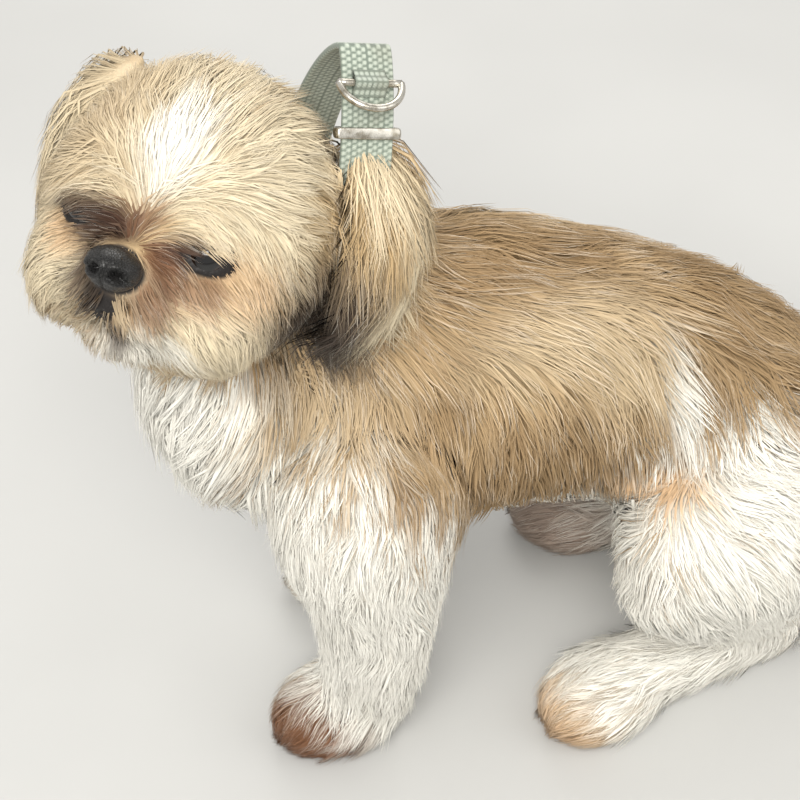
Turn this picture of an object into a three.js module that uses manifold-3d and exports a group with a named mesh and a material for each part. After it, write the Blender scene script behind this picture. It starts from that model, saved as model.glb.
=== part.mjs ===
// Crouching shih tzu with its head turned to its left and a webbing collar, life size.
// Millimetres, +Z up. The body faces -X and its left side is -Y.
// The soles and the heels of the hind feet lie flat at one level.

import * as THREE from 'three';
import { mergeVertices } from 'three/addons/utils/BufferGeometryUtils.js';
import Module from 'manifold-3d';

const wasm = await Module();
wasm.setup();
const { Manifold } = wasm;

// Driving dimensions

const GAP = 0.3; // clearance between neighbouring parts
const SINK = 5; // how deep the root of a lock sits in the core
const CORE_SHARE = 0.5; // how far in, as a share of the coat, the core lies below the tips
const SMOOTHING = 0.3; // how far a face may move where small faces are merged
const FINE_SMOOTHING = 0.08; // the same after the parts are cut, well under the clearance

const COAT = {
  torso: 15,
  neck: 15,
  bib: 17,
  skull: 12,
  face: 7,
  ear: 9,
  thigh: 13,
  leg: 10,
  paw: 7,
  tail: 15,
};

const HEAD_CENTRE = [-109, -12, 308];
const HEAD_TURN = 55.5; // degrees the head is turned to the left
const HEAD_LIFT = 32; // degrees the face is lifted
const HEAD_TILT = 9; // degrees the left ear is lower

const EYE_FORWARD = 42.5;
const EYE_ASIDE = 23.5;
const EYE_RADIUS = 10;
const NOSE_FORWARD = 69.5;
const NOSE_DROP = 11;
const NOSE_SIZE = [9.5, 10.8, 8.8]; // half its depth, width and height
const NOSTRIL_ASIDE = 4.9;
const MOUTH_LEVEL = -34;

const COLLAR_CENTRE = [-53, 4, 284];
const COLLAR_LEAN = 13; // degrees the loop leans from upright
const COLLAR_HIGH = 80; // half height of the loop
const COLLAR_WIDE = 37; // half width of the loop
const COLLAR_PEAK = 1.6; // how the upper half narrows to its top, 1 for a plain oval
const WEBBING_WIDTH = 21;
const WEBBING_THICK = 2.6;
const SLIDER_ANGLE = 45; // degrees round the loop from its top, towards the left side
const RING_ANGLE = 27;
const RING_RADIUS = 12.5;
const RING_WIRE = 1.5;

// Small helpers

const vec = (x, y, z) => new THREE.Vector3(x, y, z);
const fromList = (list) => vec(list[0], list[1], list[2]);
const rad = THREE.MathUtils.degToRad;
const mix = THREE.MathUtils.lerp;
const UP = vec(0, 0, 1);
const ACROSS = vec(0, 1, 0);

let seed = 20461;
function random() {
  seed = (seed * 1664525 + 1013904223) % 4294967296;
  return seed / 4294967296;
}
const spread = (amount) => (random() * 2 - 1) * amount;

function toSolid(geometry) {
  const bare = new THREE.BufferGeometry();
  bare.setAttribute('position', geometry.getAttribute('position'));
  if (geometry.index) {
    bare.setIndex(geometry.index);
  }
  const merged = mergeVertices(bare, 1e-4);
  const mesh = new wasm.Mesh({
    numProp: 3,
    vertProperties: new Float32Array(merged.getAttribute('position').array),
    triVerts: new Uint32Array(merged.index.array),
  });
  return new Manifold(mesh);
}

function geometryOf(points, faces) {
  const geometry = new THREE.BufferGeometry();
  const numbers = points.flatMap((p) => [p.x, p.y, p.z]);
  geometry.setAttribute('position', new THREE.Float32BufferAttribute(numbers, 3));
  geometry.setIndex(faces);
  return geometry;
}

function outward(points, faces) {
  const made = toSolid(geometryOf(points, faces));
  if (made.volume() > 0) {
    return made;
  }
  for (let i = 0; i < faces.length; i += 3) {
    [faces[i], faces[i + 1]] = [faces[i + 1], faces[i]];
  }
  return toSolid(geometryOf(points, faces));
}

function placed(geometry, basisX, basisY, basisZ, centre) {
  const matrix = new THREE.Matrix4().makeBasis(basisX, basisY, basisZ);
  matrix.setPosition(centre);
  return toSolid(geometry.applyMatrix4(matrix));
}

const joined = (solids) => solids.reduce((sum, solid) => sum.add(solid));

function largest(solid) {
  const pieces = solid.decompose();
  return pieces.reduce((best, piece) => (piece.volume() > best.volume() ? piece : best));
}

// Frame of the head

const turn = rad(HEAD_TURN);
const lift = rad(HEAD_LIFT);
const tilt = rad(HEAD_TILT);
const headForward = vec(
  -Math.cos(turn) * Math.cos(lift),
  -Math.sin(turn) * Math.cos(lift),
  Math.sin(lift),
);
const levelLeft = vec(Math.sin(turn), -Math.cos(turn), 0);
const levelUp = headForward.clone().cross(levelLeft);
const headLeft = levelLeft.clone().multiplyScalar(Math.cos(tilt)).addScaledVector(levelUp, -Math.sin(tilt));
const headUp = headForward.clone().cross(headLeft);
const HEAD_FRAME = [headForward, headLeft, headUp];
const BODY_FRAME = [vec(1, 0, 0), vec(0, 1, 0), vec(0, 0, 1)];

function onHead(forward, left, up) {
  return fromList(HEAD_CENTRE)
    .addScaledVector(headForward, forward)
    .addScaledVector(headLeft, left)
    .addScaledVector(headUp, up);
}

// Forms: balls with three radii, and tubes with oval rings. Their sizes reach out to the tips of the coat.

class Ball {
  constructor(centre, radii, frame, coat, detail = 2) {
    this.centre = centre;
    this.radii = radii;
    this.frame = frame;
    this.coat = coat;
    this.detail = detail;
  }

  solid(inset = 0) {
    const geometry = new THREE.IcosahedronGeometry(1, this.detail);
    geometry.scale(...this.radii.map((r) => r - inset));
    return placed(geometry, ...this.frame, this.centre);
  }

  distance(point) {
    const away = point.clone().sub(this.centre);
    const parts = this.frame.map((axis, i) => away.dot(axis) / this.radii[i]);
    const near = Math.hypot(...parts);
    const slope = Math.hypot(...parts.map((part, i) => part / this.radii[i]));
    return slope < 1e-9 ? -Math.min(...this.radii) : (near * (near - 1)) / slope;
  }
}

class Tube {
  constructor(stations, side, coat, sides = 16) {
    this.points = stations.map((s) => vec(s[0], s[1], s[2]));
    this.high = stations.map((s) => s[3]);
    this.wide = stations.map((s) => s[4] ?? s[3]);
    this.coat = coat;
    this.sides = sides;
    this.along = this.points.map((p, i) => {
      const before = this.points[Math.max(i - 1, 0)];
      const after = this.points[Math.min(i + 1, this.points.length - 1)];
      return after.clone().sub(before).normalize();
    });
    this.lateral = this.along.map((t) => side.clone().addScaledVector(t, -side.dot(t)).normalize());
    this.top = this.along.map((t, i) => this.lateral[i].clone().cross(t).negate());
  }

  ring(i, angle, inset) {
    const end = i === 0 ? 1 : i === this.points.length - 1 ? -1 : 0;
    const least = Math.min(this.high[i], this.wide[i]);
    const cut = Math.min(inset, least - 3);
    return this.points[i]
      .clone()
      .addScaledVector(this.along[i], end * inset)
      .addScaledVector(this.lateral[i], Math.cos(angle) * (this.wide[i] - cut))
      .addScaledVector(this.top[i], Math.sin(angle) * (this.high[i] - cut));
  }

  solid(inset = 0) {
    const n = this.points.length;
    const points = [];
    const faces = [];
    for (let i = 0; i < n; i += 1) {
      for (let k = 0; k < this.sides; k += 1) {
        points.push(this.ring(i, (k / this.sides) * 2 * Math.PI, inset));
      }
    }
    for (let i = 0; i < n - 1; i += 1) {
      for (let k = 0; k < this.sides; k += 1) {
        const a = i * this.sides + k;
        const b = i * this.sides + ((k + 1) % this.sides);
        faces.push(a, a + this.sides, b, b, a + this.sides, b + this.sides);
      }
    }
    const first = points.push(this.points[0].clone().addScaledVector(this.along[0], inset)) - 1;
    const last = points.push(this.points[n - 1].clone().addScaledVector(this.along[n - 1], -inset)) - 1;
    for (let k = 0; k < this.sides; k += 1) {
      const next = (k + 1) % this.sides;
      const row = (n - 1) * this.sides;
      faces.push(first, k, next, last, row + next, row + k);
    }
    return outward(points, faces);
  }

  distance(point) {
    let best = Infinity;
    for (let i = 0; i < this.points.length - 1; i += 1) {
      const leg = this.points[i + 1].clone().sub(this.points[i]);
      const away = point.clone().sub(this.points[i]);
      const t = Math.min(Math.max(away.dot(leg) / leg.lengthSq(), 0), 1);
      const rest = away.addScaledVector(leg, -t);
      const high = mix(this.high[i], this.high[i + 1], t);
      const wide = mix(this.wide[i], this.wide[i + 1], t);
      const lateral = this.lateral[i].clone().lerp(this.lateral[i + 1], t);
      const side = rest.dot(lateral);
      const other = Math.sqrt(Math.max(rest.lengthSq() - side * side, 0));
      const near = Math.hypot(side / wide, other / high);
      const slope = Math.hypot(side / wide / wide, other / high / high);
      const value = slope < 1e-9 ? -Math.min(high, wide) : (near * (near - 1)) / slope;
      best = Math.min(best, value);
    }
    return best;
  }
}

// Forms of the body

const mirrorY = (rows) => rows.map((row) => [row[0], -row[1], ...row.slice(2)]);
const FAR_FOOT_BACK = 27; // how much further back the right hind foot stands than the left

const torso = new Tube([
  [-84, 0, 176, 18, 20],
  [-76, 0, 182, 44, 40],
  [-50, 0, 191, 66, 57],
  [-20, 0, 193, 75, 65],
  [10, 0, 190, 74, 66],
  [45, 0, 182, 69, 62],
  [80, 0, 169, 64, 60],
  [110, 0, 149, 64, 62],
  [136, 0, 121, 65, 65],
  [156, 0, 92, 59, 62],
  [170, 0, 70, 42, 50],
  [178, 0, 57, 18, 26],
], ACROSS, COAT.torso, 16);

const neck = new Tube([
  [-14, 0, 208, 58, 52],
  [-48, 1, 245, 45, 43],
  [-72, 4, 268, 44, 44],
  [-92, 8, 288, 40, 42],
], ACROSS, COAT.neck, 14);

const bib = new Tube([
  [-90, 3, 266, 26, 32],
  [-101, -2, 236, 37, 42],
  [-100, -5, 202, 37, 44],
  [-88, -4, 171, 29, 39],
  [-74, -2, 152, 14, 24],
], ACROSS, COAT.bib, 12);

const skull = new Ball(onHead(0, 0, 0), [59, 61, 64], HEAD_FRAME, COAT.skull, 4);
const mask = new Ball(onHead(8, 0, -2), [52, 58, 50], HEAD_FRAME, COAT.face, 3);
const brow = new Ball(onHead(26, 0, 22), [30, 42, 28], HEAD_FRAME, COAT.face);
const lips = [1, -1].map((s) => new Ball(onHead(46, 12 * s, -26), [18, 17, 15], HEAD_FRAME, COAT.face));
const cheeks = [1, -1].map((s) => new Ball(onHead(24, 26 * s, -24), [33, 27, 30], HEAD_FRAME, COAT.skull));
const chin = new Ball(onHead(37, 0, -40), [21, 20, 14], HEAD_FRAME, COAT.face);
const bridge = new Ball(onHead(56, 0, -9), [12, 13, 11], HEAD_FRAME, COAT.face);

function earTube(rows, side) {
  const stations = rows.map((r) => [...onHead(r[0], r[1] * side, r[2]).toArray(), r[3], r[4]]);
  return new Tube(stations, headLeft, COAT.ear, 10);
}
const leftEar = earTube([
  [-14, 42, 49, 12, 8],
  [-20, 55, 41, 22, 12],
  [-25, 65, 24, 27, 16],
  [-27, 69, 5, 27, 17],
  [-24, 68, -14, 20, 13],
  [-19, 65, -29, 9, 7],
], 1);
const rightEar = earTube([
  [-14, 42, 46, 12, 8],
  [-20, 55, 36, 24, 11],
  [-24, 61, 17, 28, 12],
  [-26, 62, -4, 26, 12],
  [-23, 60, -24, 19, 10],
  [-20, 58, -37, 9, 6],
], -1);

const leftForeRows = [
  [-52, -36, 204, 16],
  [-51, -39, 194, 36],
  [-48, -42, 172, 45],
  [-50, -46, 146, 42],
  [-48, -47, 124, 36],
  [-46, -45, 82, 29],
  [-47, -40, 48, 26],
  [-50, -36, 26, 25],
  [-51, -35, 10, 22],
];
const rightForeRows = [
  [-52, 36, 204, 16],
  [-51, 39, 194, 36],
  [-46, 42, 172, 43],
  [-31, 47, 146, 37],
  [-20, 50, 124, 31],
  [-20, 50, 82, 27],
  [-22, 50, 48, 26],
  [-23, 50, 26, 25],
  [-24, 50, 10, 22],
];
const hindUpperRows = [
  [176, -32, 84, 16],
  [168, -35, 88, 38],
  [148, -42, 97, 51],
  [122, -52, 107, 52],
  [97, -62, 110, 43],
  [80, -67, 106, 33],
  [71, -69, 102, 14],
];
const hindLowerRows = [
  [76, -70, 112, 14],
  [84, -69, 105, 30],
  [112, -58, 78, 31],
  [142, -45, 48, 27],
  [160, -37, 30, 22],
];
const hindFootRows = [
  [176, -32, 18, 9],
  [170, -34, 17, 18],
  [156, -39, 15, 21],
  [124, -46, 16, 21],
  [90, -54, 17, 22],
  [66, -60, 16, 23],
];

function drawnBack(row) {
  const share = Math.min(Math.max((156 - row[0]) / 90, 0), 1);
  return [row[0] + FAR_FOOT_BACK * share, row[1] - 4 * share, ...row.slice(2)];
}

function paw(x, y, heading) {
  const a = rad(heading);
  const frame = [vec(-Math.cos(a), Math.sin(a), 0), vec(-Math.sin(a), -Math.cos(a), 0), vec(0, 0, 1)];
  return new Ball(vec(x, y, 15), [35, 28, 21], frame, COAT.paw);
}

const limb = (rows, coat) => new Tube(rows, ACROSS, coat, 10);
const leftFore = [limb(leftForeRows, COAT.leg), paw(-62, -34, -12)];
const rightFore = [limb(rightForeRows, COAT.leg), paw(-34, 50, 8)];
const leftHind = [
  limb(hindUpperRows, COAT.thigh),
  limb(hindLowerRows, COAT.leg),
  limb(hindFootRows, COAT.leg),
  paw(62, -61, -22),
];
const rightHind = [
  limb(mirrorY(hindUpperRows), COAT.thigh),
  limb(mirrorY(hindLowerRows), COAT.leg),
  limb(mirrorY(hindFootRows).map(drawnBack), COAT.leg),
  paw(62 + FAR_FOOT_BACK, 57, 22),
];

const tail = new Tube([
  [166, 0, 132, 20, 20],
  [190, 0, 140, 23, 23],
  [214, -2, 130, 27, 27],
  [234, -4, 100, 30, 30],
  [247, -7, 64, 28, 28],
  [262, -11, 36, 21, 24],
  [280, -15, 24, 10, 14],
], ACROSS, COAT.tail, 10);

const headForms = [skull, mask, brow, bridge, ...lips, ...cheeks, chin];
const bodyForms = [
  torso,
  neck,
  bib,
  ...headForms,
  ...leftFore,
  ...rightFore,
  ...leftHind,
  ...rightHind,
  tail,
];

// Level of the coat: how far a point is outside the tips, over all forms run softly together

const BLEND = 7;
function level(point, forms) {
  let sum = 0;
  for (const form of forms) {
    sum += Math.exp(-form.distance(point) / BLEND);
  }
  return -BLEND * Math.log(sum);
}

function slopeAt(point, forms) {
  const e = 0.8;
  return vec(
    level(point.clone().add(vec(e, 0, 0)), forms) - level(point.clone().add(vec(-e, 0, 0)), forms),
    level(point.clone().add(vec(0, e, 0)), forms) - level(point.clone().add(vec(0, -e, 0)), forms),
    level(point.clone().add(vec(0, 0, e)), forms) - level(point.clone().add(vec(0, 0, -e)), forms),
  ).normalize();
}

function movedTo(point, target, forms) {
  const moved = point.clone();
  for (let i = 0; i < 3; i += 1) {
    moved.addScaledVector(slopeAt(moved, forms), target - level(moved, forms));
  }
  return moved;
}

// A lock: a flat tapered strip with its root in the core, bending along the lie of the coat

const RINGS = [0, 0.32, 0.7];
const WIDTHS = [0.4, 1, 0.72];
const RIDGES = [1, 1, 0.7];

function lock(root, lie, size, forms) {
  const { long, wide, thick, coat, curl } = size;
  const bed = -coat * CORE_SHARE;
  const start = bed - SINK;
  const clear = bed + thick * 0.4 + 0.9;
  const heights = [start, clear, Math.max(clear, -thick * 0.6), -thick * 0.3];
  let point = movedTo(root, start, forms);
  const points = [];
  const heading = lie.clone();
  let travelled = 0;
  [...RINGS, 1].forEach((stop, i) => {
    const step = (stop - travelled) * long;
    travelled = stop;
    const normal = slopeAt(point, forms);
    heading.addScaledVector(normal, -heading.dot(normal)).normalize();
    heading.applyAxisAngle(normal, (curl * step) / long);
    if (i > 0) {
      point = movedTo(point.clone().addScaledVector(heading, step), heights[i], forms);
    }
    if (i === RINGS.length) {
      points.push(point.clone());
      return;
    }
    const side = normal.clone().cross(heading).normalize();
    const w = wide * 0.5 * WIDTHS[i];
    points.push(point.clone().addScaledVector(side, w).addScaledVector(normal, -thick * 0.4));
    points.push(point.clone().addScaledVector(normal, thick * 0.6 * RIDGES[i]));
    points.push(point.clone().addScaledVector(side, -w).addScaledVector(normal, -thick * 0.4));
  });
  const faces = [0, 2, 1];
  const rows = RINGS.length - 1;
  for (let i = 0; i < rows; i += 1) {
    for (let k = 0; k < 3; k += 1) {
      const a = i * 3 + k;
      const b = i * 3 + ((k + 1) % 3);
      faces.push(a, b, a + 3, b, b + 3, a + 3);
    }
  }
  const tip = rows * 3 + 3;
  for (let k = 0; k < 3; k += 1) {
    faces.push(rows * 3 + k, rows * 3 + ((k + 1) % 3), tip);
  }
  return outward(points, faces);
}

// Rows of locks round a tube, and over a ball

function locksRoundTube(tube, rows, around, lieAt, size, forms, keep = () => true) {
  const made = [];
  const last = tube.points.length - 1;
  for (let r = 0; r < rows.count; r += 1) {
    const u = mix(rows.from, rows.to, r / Math.max(rows.count - 1, 1)) * last;
    for (let k = 0; k < around; k += 1) {
      const angle = ((k + (r % 2) * 0.5 + spread(0.22)) / around) * 2 * Math.PI;
      const at = Math.min(Math.max(u + spread(0.15), 0), last - 0.001);
      const i = Math.floor(at);
      const root = tube.ring(i, angle, 0).lerp(tube.ring(i + 1, angle, 0), at - i);
      const along = tube.along[i].clone().lerp(tube.along[i + 1], at - i);
      if (keep(root, angle)) {
        made.push(lock(root, lieAt(root, along, angle), varied(size), forms));
      }
    }
  }
  return made;
}

function varied(size) {
  return {
    ...size,
    long: size.long * (1 + spread(0.18)),
    wide: size.wide * (1 + spread(0.15)),
    curl: spread(size.curl ?? 0.5),
  };
}

function locksOverBall(ball, count, lieAt, size, forms, keep = () => true) {
  const made = [];
  const golden = Math.PI * (3 - Math.sqrt(5));
  for (let i = 0; i < count; i += 1) {
    const z = 1 - (2 * (i + 0.5)) / count;
    const r = Math.sqrt(1 - z * z);
    const a = i * golden;
    const local = [r * Math.cos(a), r * Math.sin(a), z];
    const root = ball.centre.clone();
    ball.frame.forEach((axis, k) => root.addScaledVector(axis, local[k] * ball.radii[k]));
    if (keep(root, local)) {
      made.push(lock(root, lieAt(root, local), varied(size), forms));
    }
  }
  return made;
}

const outside = (point, forms, depth) => forms.every((form) => form.distance(point) > -depth);

// Lie of the coat on each part

const downward = (along, share) => along.clone().multiplyScalar(1 - share).addScaledVector(UP, -share);

function torsoLie(root, along, angle) {
  const low = 0.5 - 0.5 * Math.sin(angle);
  return downward(along, 0.12 + 0.62 * Math.min(low * 1.3, 1));
}

function headLie(root, local) {
  const lie = vec(0, 0, 0);
  lie.addScaledVector(headForward, -0.75 * Math.max(local[0], 0.2) - 0.2);
  lie.addScaledVector(headLeft, local[1] * 1.1);
  lie.addScaledVector(headUp, local[2] > 0.2 ? 0.25 : -0.9);
  lie.addScaledVector(UP, -0.35);
  return lie;
}

function muzzleLie(root, local) {
  const side = root.clone().sub(onHead(0, 0, 0)).dot(headLeft);
  return vec(0, 0, 0)
    .addScaledVector(headForward, -0.35)
    .addScaledVector(headLeft, Math.sign(side) * 0.6)
    .addScaledVector(headUp, -0.9);
}

const SIZE = {
  torso: { long: 58, wide: 29, thick: 6, coat: COAT.torso, curl: 0.4 },
  neck: { long: 48, wide: 28, thick: 6, coat: COAT.neck, curl: 0.4 },
  bib: { long: 52, wide: 25, thick: 6.5, coat: COAT.bib, curl: 0.4 },
  skull: { long: 38, wide: 20, thick: 5, coat: COAT.skull, curl: 0.4 },
  cheek: { long: 34, wide: 17, thick: 4.6, coat: COAT.skull, curl: 0.4 },
  lip: { long: 20, wide: 9, thick: 2.6, coat: COAT.face, curl: 0.3 },
  ear: { long: 44, wide: 17, thick: 3.2, coat: COAT.ear, curl: 0.3 },
  thigh: { long: 58, wide: 30, thick: 5.5, coat: COAT.thigh, curl: 0.4 },
  leg: { long: 40, wide: 19, thick: 4.2, coat: COAT.leg, curl: 0.4 },
  paw: { long: 26, wide: 13, thick: 2.8, coat: COAT.paw, curl: 0.3 },
  tail: { long: 58, wide: 24, thick: 6, coat: COAT.tail, curl: 0.4 },
};

const aboveFloor = (height) => (root) => root.z > height;

function coatOf(forms) {
  const locks = [];
  const others = (own) => forms.filter((form) => !own.includes(form));
  const free = (own, depth = 6) => (root) => outside(root, others(own), depth);
  locks.push(...locksRoundTube(torso, { count: 6, from: 0.14, to: 0.88 }, 10, torsoLie, SIZE.torso, forms,
    (root) => free([torso])(root) && root.z > 52));
  locks.push(...locksRoundTube(neck, { count: 2, from: 0.35, to: 0.75 }, 6,
    (root, along, angle) => downward(along.clone().negate(), Math.sin(angle) > 0.3 ? 0.2 : 0.75),
    SIZE.neck, forms, free([neck])));
  locks.push(...locksRoundTube(bib, { count: 4, from: 0.12, to: 0.8 }, 8,
    (root) => vec(-0.35, (root.y + 4) * 0.012 - 0.1, -0.9), SIZE.bib, forms,
    (root) => root.x < -84 && free([bib], 3)(root)));
  locks.push(...locksOverBall(skull, 36, headLie, SIZE.skull, forms,
    (root, local) => free([skull, mask], 3)(root) && !(local[0] > 0.6 && local[2] < 0.3)));
  cheeks.forEach((cheek, i) => {
    locks.push(...locksOverBall(cheek, 10,
      (root, local) => headLie(root, [0.1, i === 0 ? 0.6 : -0.6, -0.5]), SIZE.cheek, forms,
      (root, local) => free([cheek], 3)(root) && local[0] > -0.5));
  });
  [...lips, chin].forEach((form) => {
    locks.push(...locksOverBall(form, 8, muzzleLie, SIZE.lip, forms,
      (root, local) => free([form], 1)(root) && local[2] < 0.2));
  });
  const down = (root, along) => downward(along, 0.35);
  [leftFore, rightFore].forEach((leg) => {
    locks.push(...locksRoundTube(leg[0], { count: 3, from: 0.3, to: 0.75 }, 6, down, SIZE.leg, forms,
      free(leg)));
  });
  [leftHind, rightHind].forEach((leg) => {
    locks.push(...locksRoundTube(leg[0], { count: 2, from: 0.25, to: 0.7 }, 6,
      (root, along) => vec(0.25, 0, -1), SIZE.thigh, forms, free(leg.slice(0, 1))));
    locks.push(...locksRoundTube(leg[1], { count: 2, from: 0.35, to: 0.75 }, 5, down, SIZE.leg, forms,
      free(leg.slice(1, 2))));
    locks.push(...locksRoundTube(leg[2], { count: 3, from: 0.15, to: 0.7 }, 5,
      (root, along) => along.clone(), SIZE.leg, forms,
      (root) => free(leg.slice(2, 3))(root) && root.z > 20));
  });
  [leftFore, rightFore, leftHind, rightHind].forEach((leg) => {
    const foot = leg[leg.length - 1];
    locks.push(...locksOverBall(foot, 9,
      (root, local) => foot.frame[0].clone().multiplyScalar(0.8 + 0.3 * local[0])
        .addScaledVector(foot.frame[1], local[1] * 0.5).addScaledVector(UP, -0.3),
      SIZE.paw, forms, (root, local) => free([foot], 3)(root) && local[2] > -0.1));
  });
  locks.push(...locksRoundTube(tail, { count: 3, from: 0.25, to: 0.72 }, 6,
    (root, along, angle) => along.clone().addScaledVector(vec(0, Math.cos(angle), 0), 0.35),
    SIZE.tail, forms, (root) => free([tail])(root) && root.z > 20));
  return locks;
}

// Cores and locks

const insetOf = (form) => form.coat * CORE_SHARE;
const core = joined(bodyForms.map((form) => form.solid(insetOf(form))));
const earForms = [leftEar, rightEar];

function box(centre, size, basis = BODY_FRAME) {
  return placed(new THREE.BoxGeometry(size[0], size[1], size[2]), ...basis, centre);
}

// Room taken by the collar

const lean = rad(COLLAR_LEAN);
const collarUp = vec(Math.sin(lean), 0, Math.cos(lean));
const collarAxis = vec(-Math.cos(lean), 0, Math.sin(lean));
const collarAcross = vec(0, -1, 0);
const COLLAR_FRAME = [collarAcross, collarUp, collarAxis];

const LOOP_SIDES = 40;

function loopPoint(a) {
  const side = Math.sin(a);
  const across = Math.cos(a) > 0 ? Math.abs(side) ** COLLAR_PEAK * Math.sign(side) : side;
  return new THREE.Vector2(COLLAR_WIDE * across, COLLAR_HIGH * Math.cos(a));
}

function loopNormal(a) {
  const step = loopPoint(a + 0.02).sub(loopPoint(a - 0.02)).normalize();
  return new THREE.Vector2(-step.y, step.x);
}

function loopDrum(grow, width) {
  const points = [];
  for (let i = 0; i < LOOP_SIDES; i += 1) {
    const a = (-i / LOOP_SIDES) * 2 * Math.PI;
    points.push(loopPoint(a).addScaledVector(loopNormal(a), grow));
  }
  const geometry = new THREE.ExtrudeGeometry(new THREE.Shape(points), { depth: width, bevelEnabled: false });
  geometry.translate(0, 0, -width / 2);
  return placed(geometry, ...COLLAR_FRAME, fromList(COLLAR_CENTRE));
}
const collarBand = loopDrum(WEBBING_THICK, WEBBING_WIDTH).subtract(loopDrum(0, WEBBING_WIDTH + 4));
const collarRoom = loopDrum(WEBBING_THICK + 3.4, WEBBING_WIDTH + 6)
  .subtract(loopDrum(-GAP, WEBBING_WIDTH + 10));

// Collar fittings

function collarSpot(angle, out) {
  const at = loopPoint(rad(angle));
  const away = loopNormal(rad(angle));
  const normal = collarAcross.clone().multiplyScalar(away.x).addScaledVector(collarUp, away.y);
  const centre = fromList(COLLAR_CENTRE)
    .addScaledVector(collarAcross, at.x)
    .addScaledVector(collarUp, at.y)
    .addScaledVector(normal, out);
  return { centre, basis: [collarAxis, normal.clone().cross(collarAxis), normal] };
}

function sliderBox(grow) {
  const spot = collarSpot(SLIDER_ANGLE, WEBBING_THICK / 2 + 0.2);
  return box(spot.centre, [WEBBING_WIDTH + 6 + grow, 5 + grow, WEBBING_THICK + 5 + grow], spot.basis);
}

function slider() {
  const spot = collarSpot(SLIDER_ANGLE, WEBBING_THICK / 2 + 0.2);
  return sliderBox(0).subtract(box(spot.centre, [WEBBING_WIDTH + 1.2, 9, WEBBING_THICK + 1.8], spot.basis));
}

function ringFrame() {
  const spot = collarSpot(RING_ANGLE, WEBBING_THICK + RING_WIRE + GAP);
  const [axis, along, normal] = spot.basis;
  const reach = normal.clone().multiplyScalar(0.55).addScaledVector(along, 0.83).normalize();
  return { centre: spot.centre, axis, reach, third: axis.clone().cross(reach) };
}

function dRing() {
  const { centre, axis, reach, third } = ringFrame();
  const rows = [];
  for (let i = 0; i <= 10; i += 1) {
    const a = (i / 10) * Math.PI;
    const point = centre
      .clone()
      .addScaledVector(axis, RING_RADIUS * Math.cos(a))
      .addScaledVector(reach, RING_RADIUS * Math.sin(a));
    rows.push([point.x, point.y, point.z, RING_WIRE, RING_WIRE]);
  }
  const bar = new THREE.CylinderGeometry(RING_WIRE, RING_WIRE, 2 * (RING_RADIUS + RING_WIRE), 6);
  bar.rotateZ(Math.PI / 2);
  return new Tube(rows, third, 0, 6).solid().add(placed(bar, axis, reach, third, centre));
}

function keeper() {
  const spot = collarSpot(RING_ANGLE, WEBBING_THICK + 2.3 + GAP);
  const outer = box(spot.centre, [13, 8, 4.6], spot.basis);
  const barRoom = new THREE.CylinderGeometry(RING_WIRE + GAP, RING_WIRE + GAP, 40, 10);
  barRoom.rotateZ(Math.PI / 2);
  const { centre, axis, reach, third } = ringFrame();
  const hole = placed(barRoom, axis, reach, third, centre);
  return largest(outer.subtract(hole).subtract(loopDrum(WEBBING_THICK + GAP, 40)));
}

const fittingsRoom = sliderBox(1).add(
  box(collarSpot(RING_ANGLE, 7).centre, [36, 34, 18], collarSpot(RING_ANGLE, 7).basis),
);

// The whole coat, before it is parted

const earRoom = earForms.map((ear) => ear.solid(-1.5));
let locks = joined(coatOf(bodyForms));
earRoom.forEach((room) => {
  locks = locks.subtract(room);
});
let whole = core.add(locks);
const floorCut = box(vec(60, 0, -50), [800, 400, 100]);
whole = whole.asOriginal().simplify(SMOOTHING).subtract(floorCut);

// Eyes, lids, nose and mouth

const eyeCentre = (s) => onHead(EYE_FORWARD, EYE_ASIDE * s, 0);
function eyeFacing(s) {
  return headForward.clone().addScaledVector(headLeft, 0.34 * s).normalize();
}
function eyeBall(s, grow) {
  const geometry = new THREE.IcosahedronGeometry(EYE_RADIUS + grow, 2);
  return placed(geometry, ...HEAD_FRAME, eyeCentre(s));
}
function lids(s) {
  const facing = eyeFacing(s);
  const across = headUp.clone().cross(facing).normalize();
  const high = facing.clone().cross(across);
  const geometry = new THREE.TorusGeometry(8.6, 2.3, 5, 16);
  geometry.scale(1.08, 0.84, 1);
  return placed(geometry, across, high, facing, eyeCentre(s).addScaledVector(facing, 5.6));
}
const noseCentre = onHead(NOSE_FORWARD, 0, -NOSE_DROP);
function noseBall(grow) {
  const geometry = new THREE.IcosahedronGeometry(1, 2);
  geometry.scale(...NOSE_SIZE.map((r) => r + grow));
  return placed(geometry, ...HEAD_FRAME, noseCentre);
}
function nostril(s) {
  const geometry = new THREE.IcosahedronGeometry(1, 1);
  geometry.scale(4.5, 2.3, 2.8);
  return placed(geometry, ...HEAD_FRAME, onHead(NOSE_FORWARD + 8, NOSTRIL_ASIDE * s, -NOSE_DROP - 1.2));
}
const mouthDisc = placed(
  new THREE.CylinderGeometry(40, 40, 2.2, 32).rotateX(Math.PI / 2),
  headLeft,
  headForward,
  headLeft.clone().cross(headForward),
  onHead(30, 0, MOUTH_LEVEL),
);
const mouthInner = new Ball(onHead(30, 0, MOUTH_LEVEL), [26, 24, 20], HEAD_FRAME, 0, 4).solid();
const mouthLine = mouthDisc
  .subtract(mouthInner)
  .intersect(box(onHead(60, 0, MOUTH_LEVEL), [56, 60, 30], HEAD_FRAME));
const philtrum = box(onHead(64, 0, -26), [10, 1.8, 14], HEAD_FRAME);

whole = whole.add(lids(1)).add(lids(-1));
whole = whole.subtract(eyeBall(1, GAP)).subtract(eyeBall(-1, GAP));
whole = whole.subtract(noseBall(GAP)).subtract(mouthLine).subtract(philtrum);
whole = whole.subtract(collarRoom).subtract(fittingsRoom);

// Parting the whole into head, neck, torso, legs and tail

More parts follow.
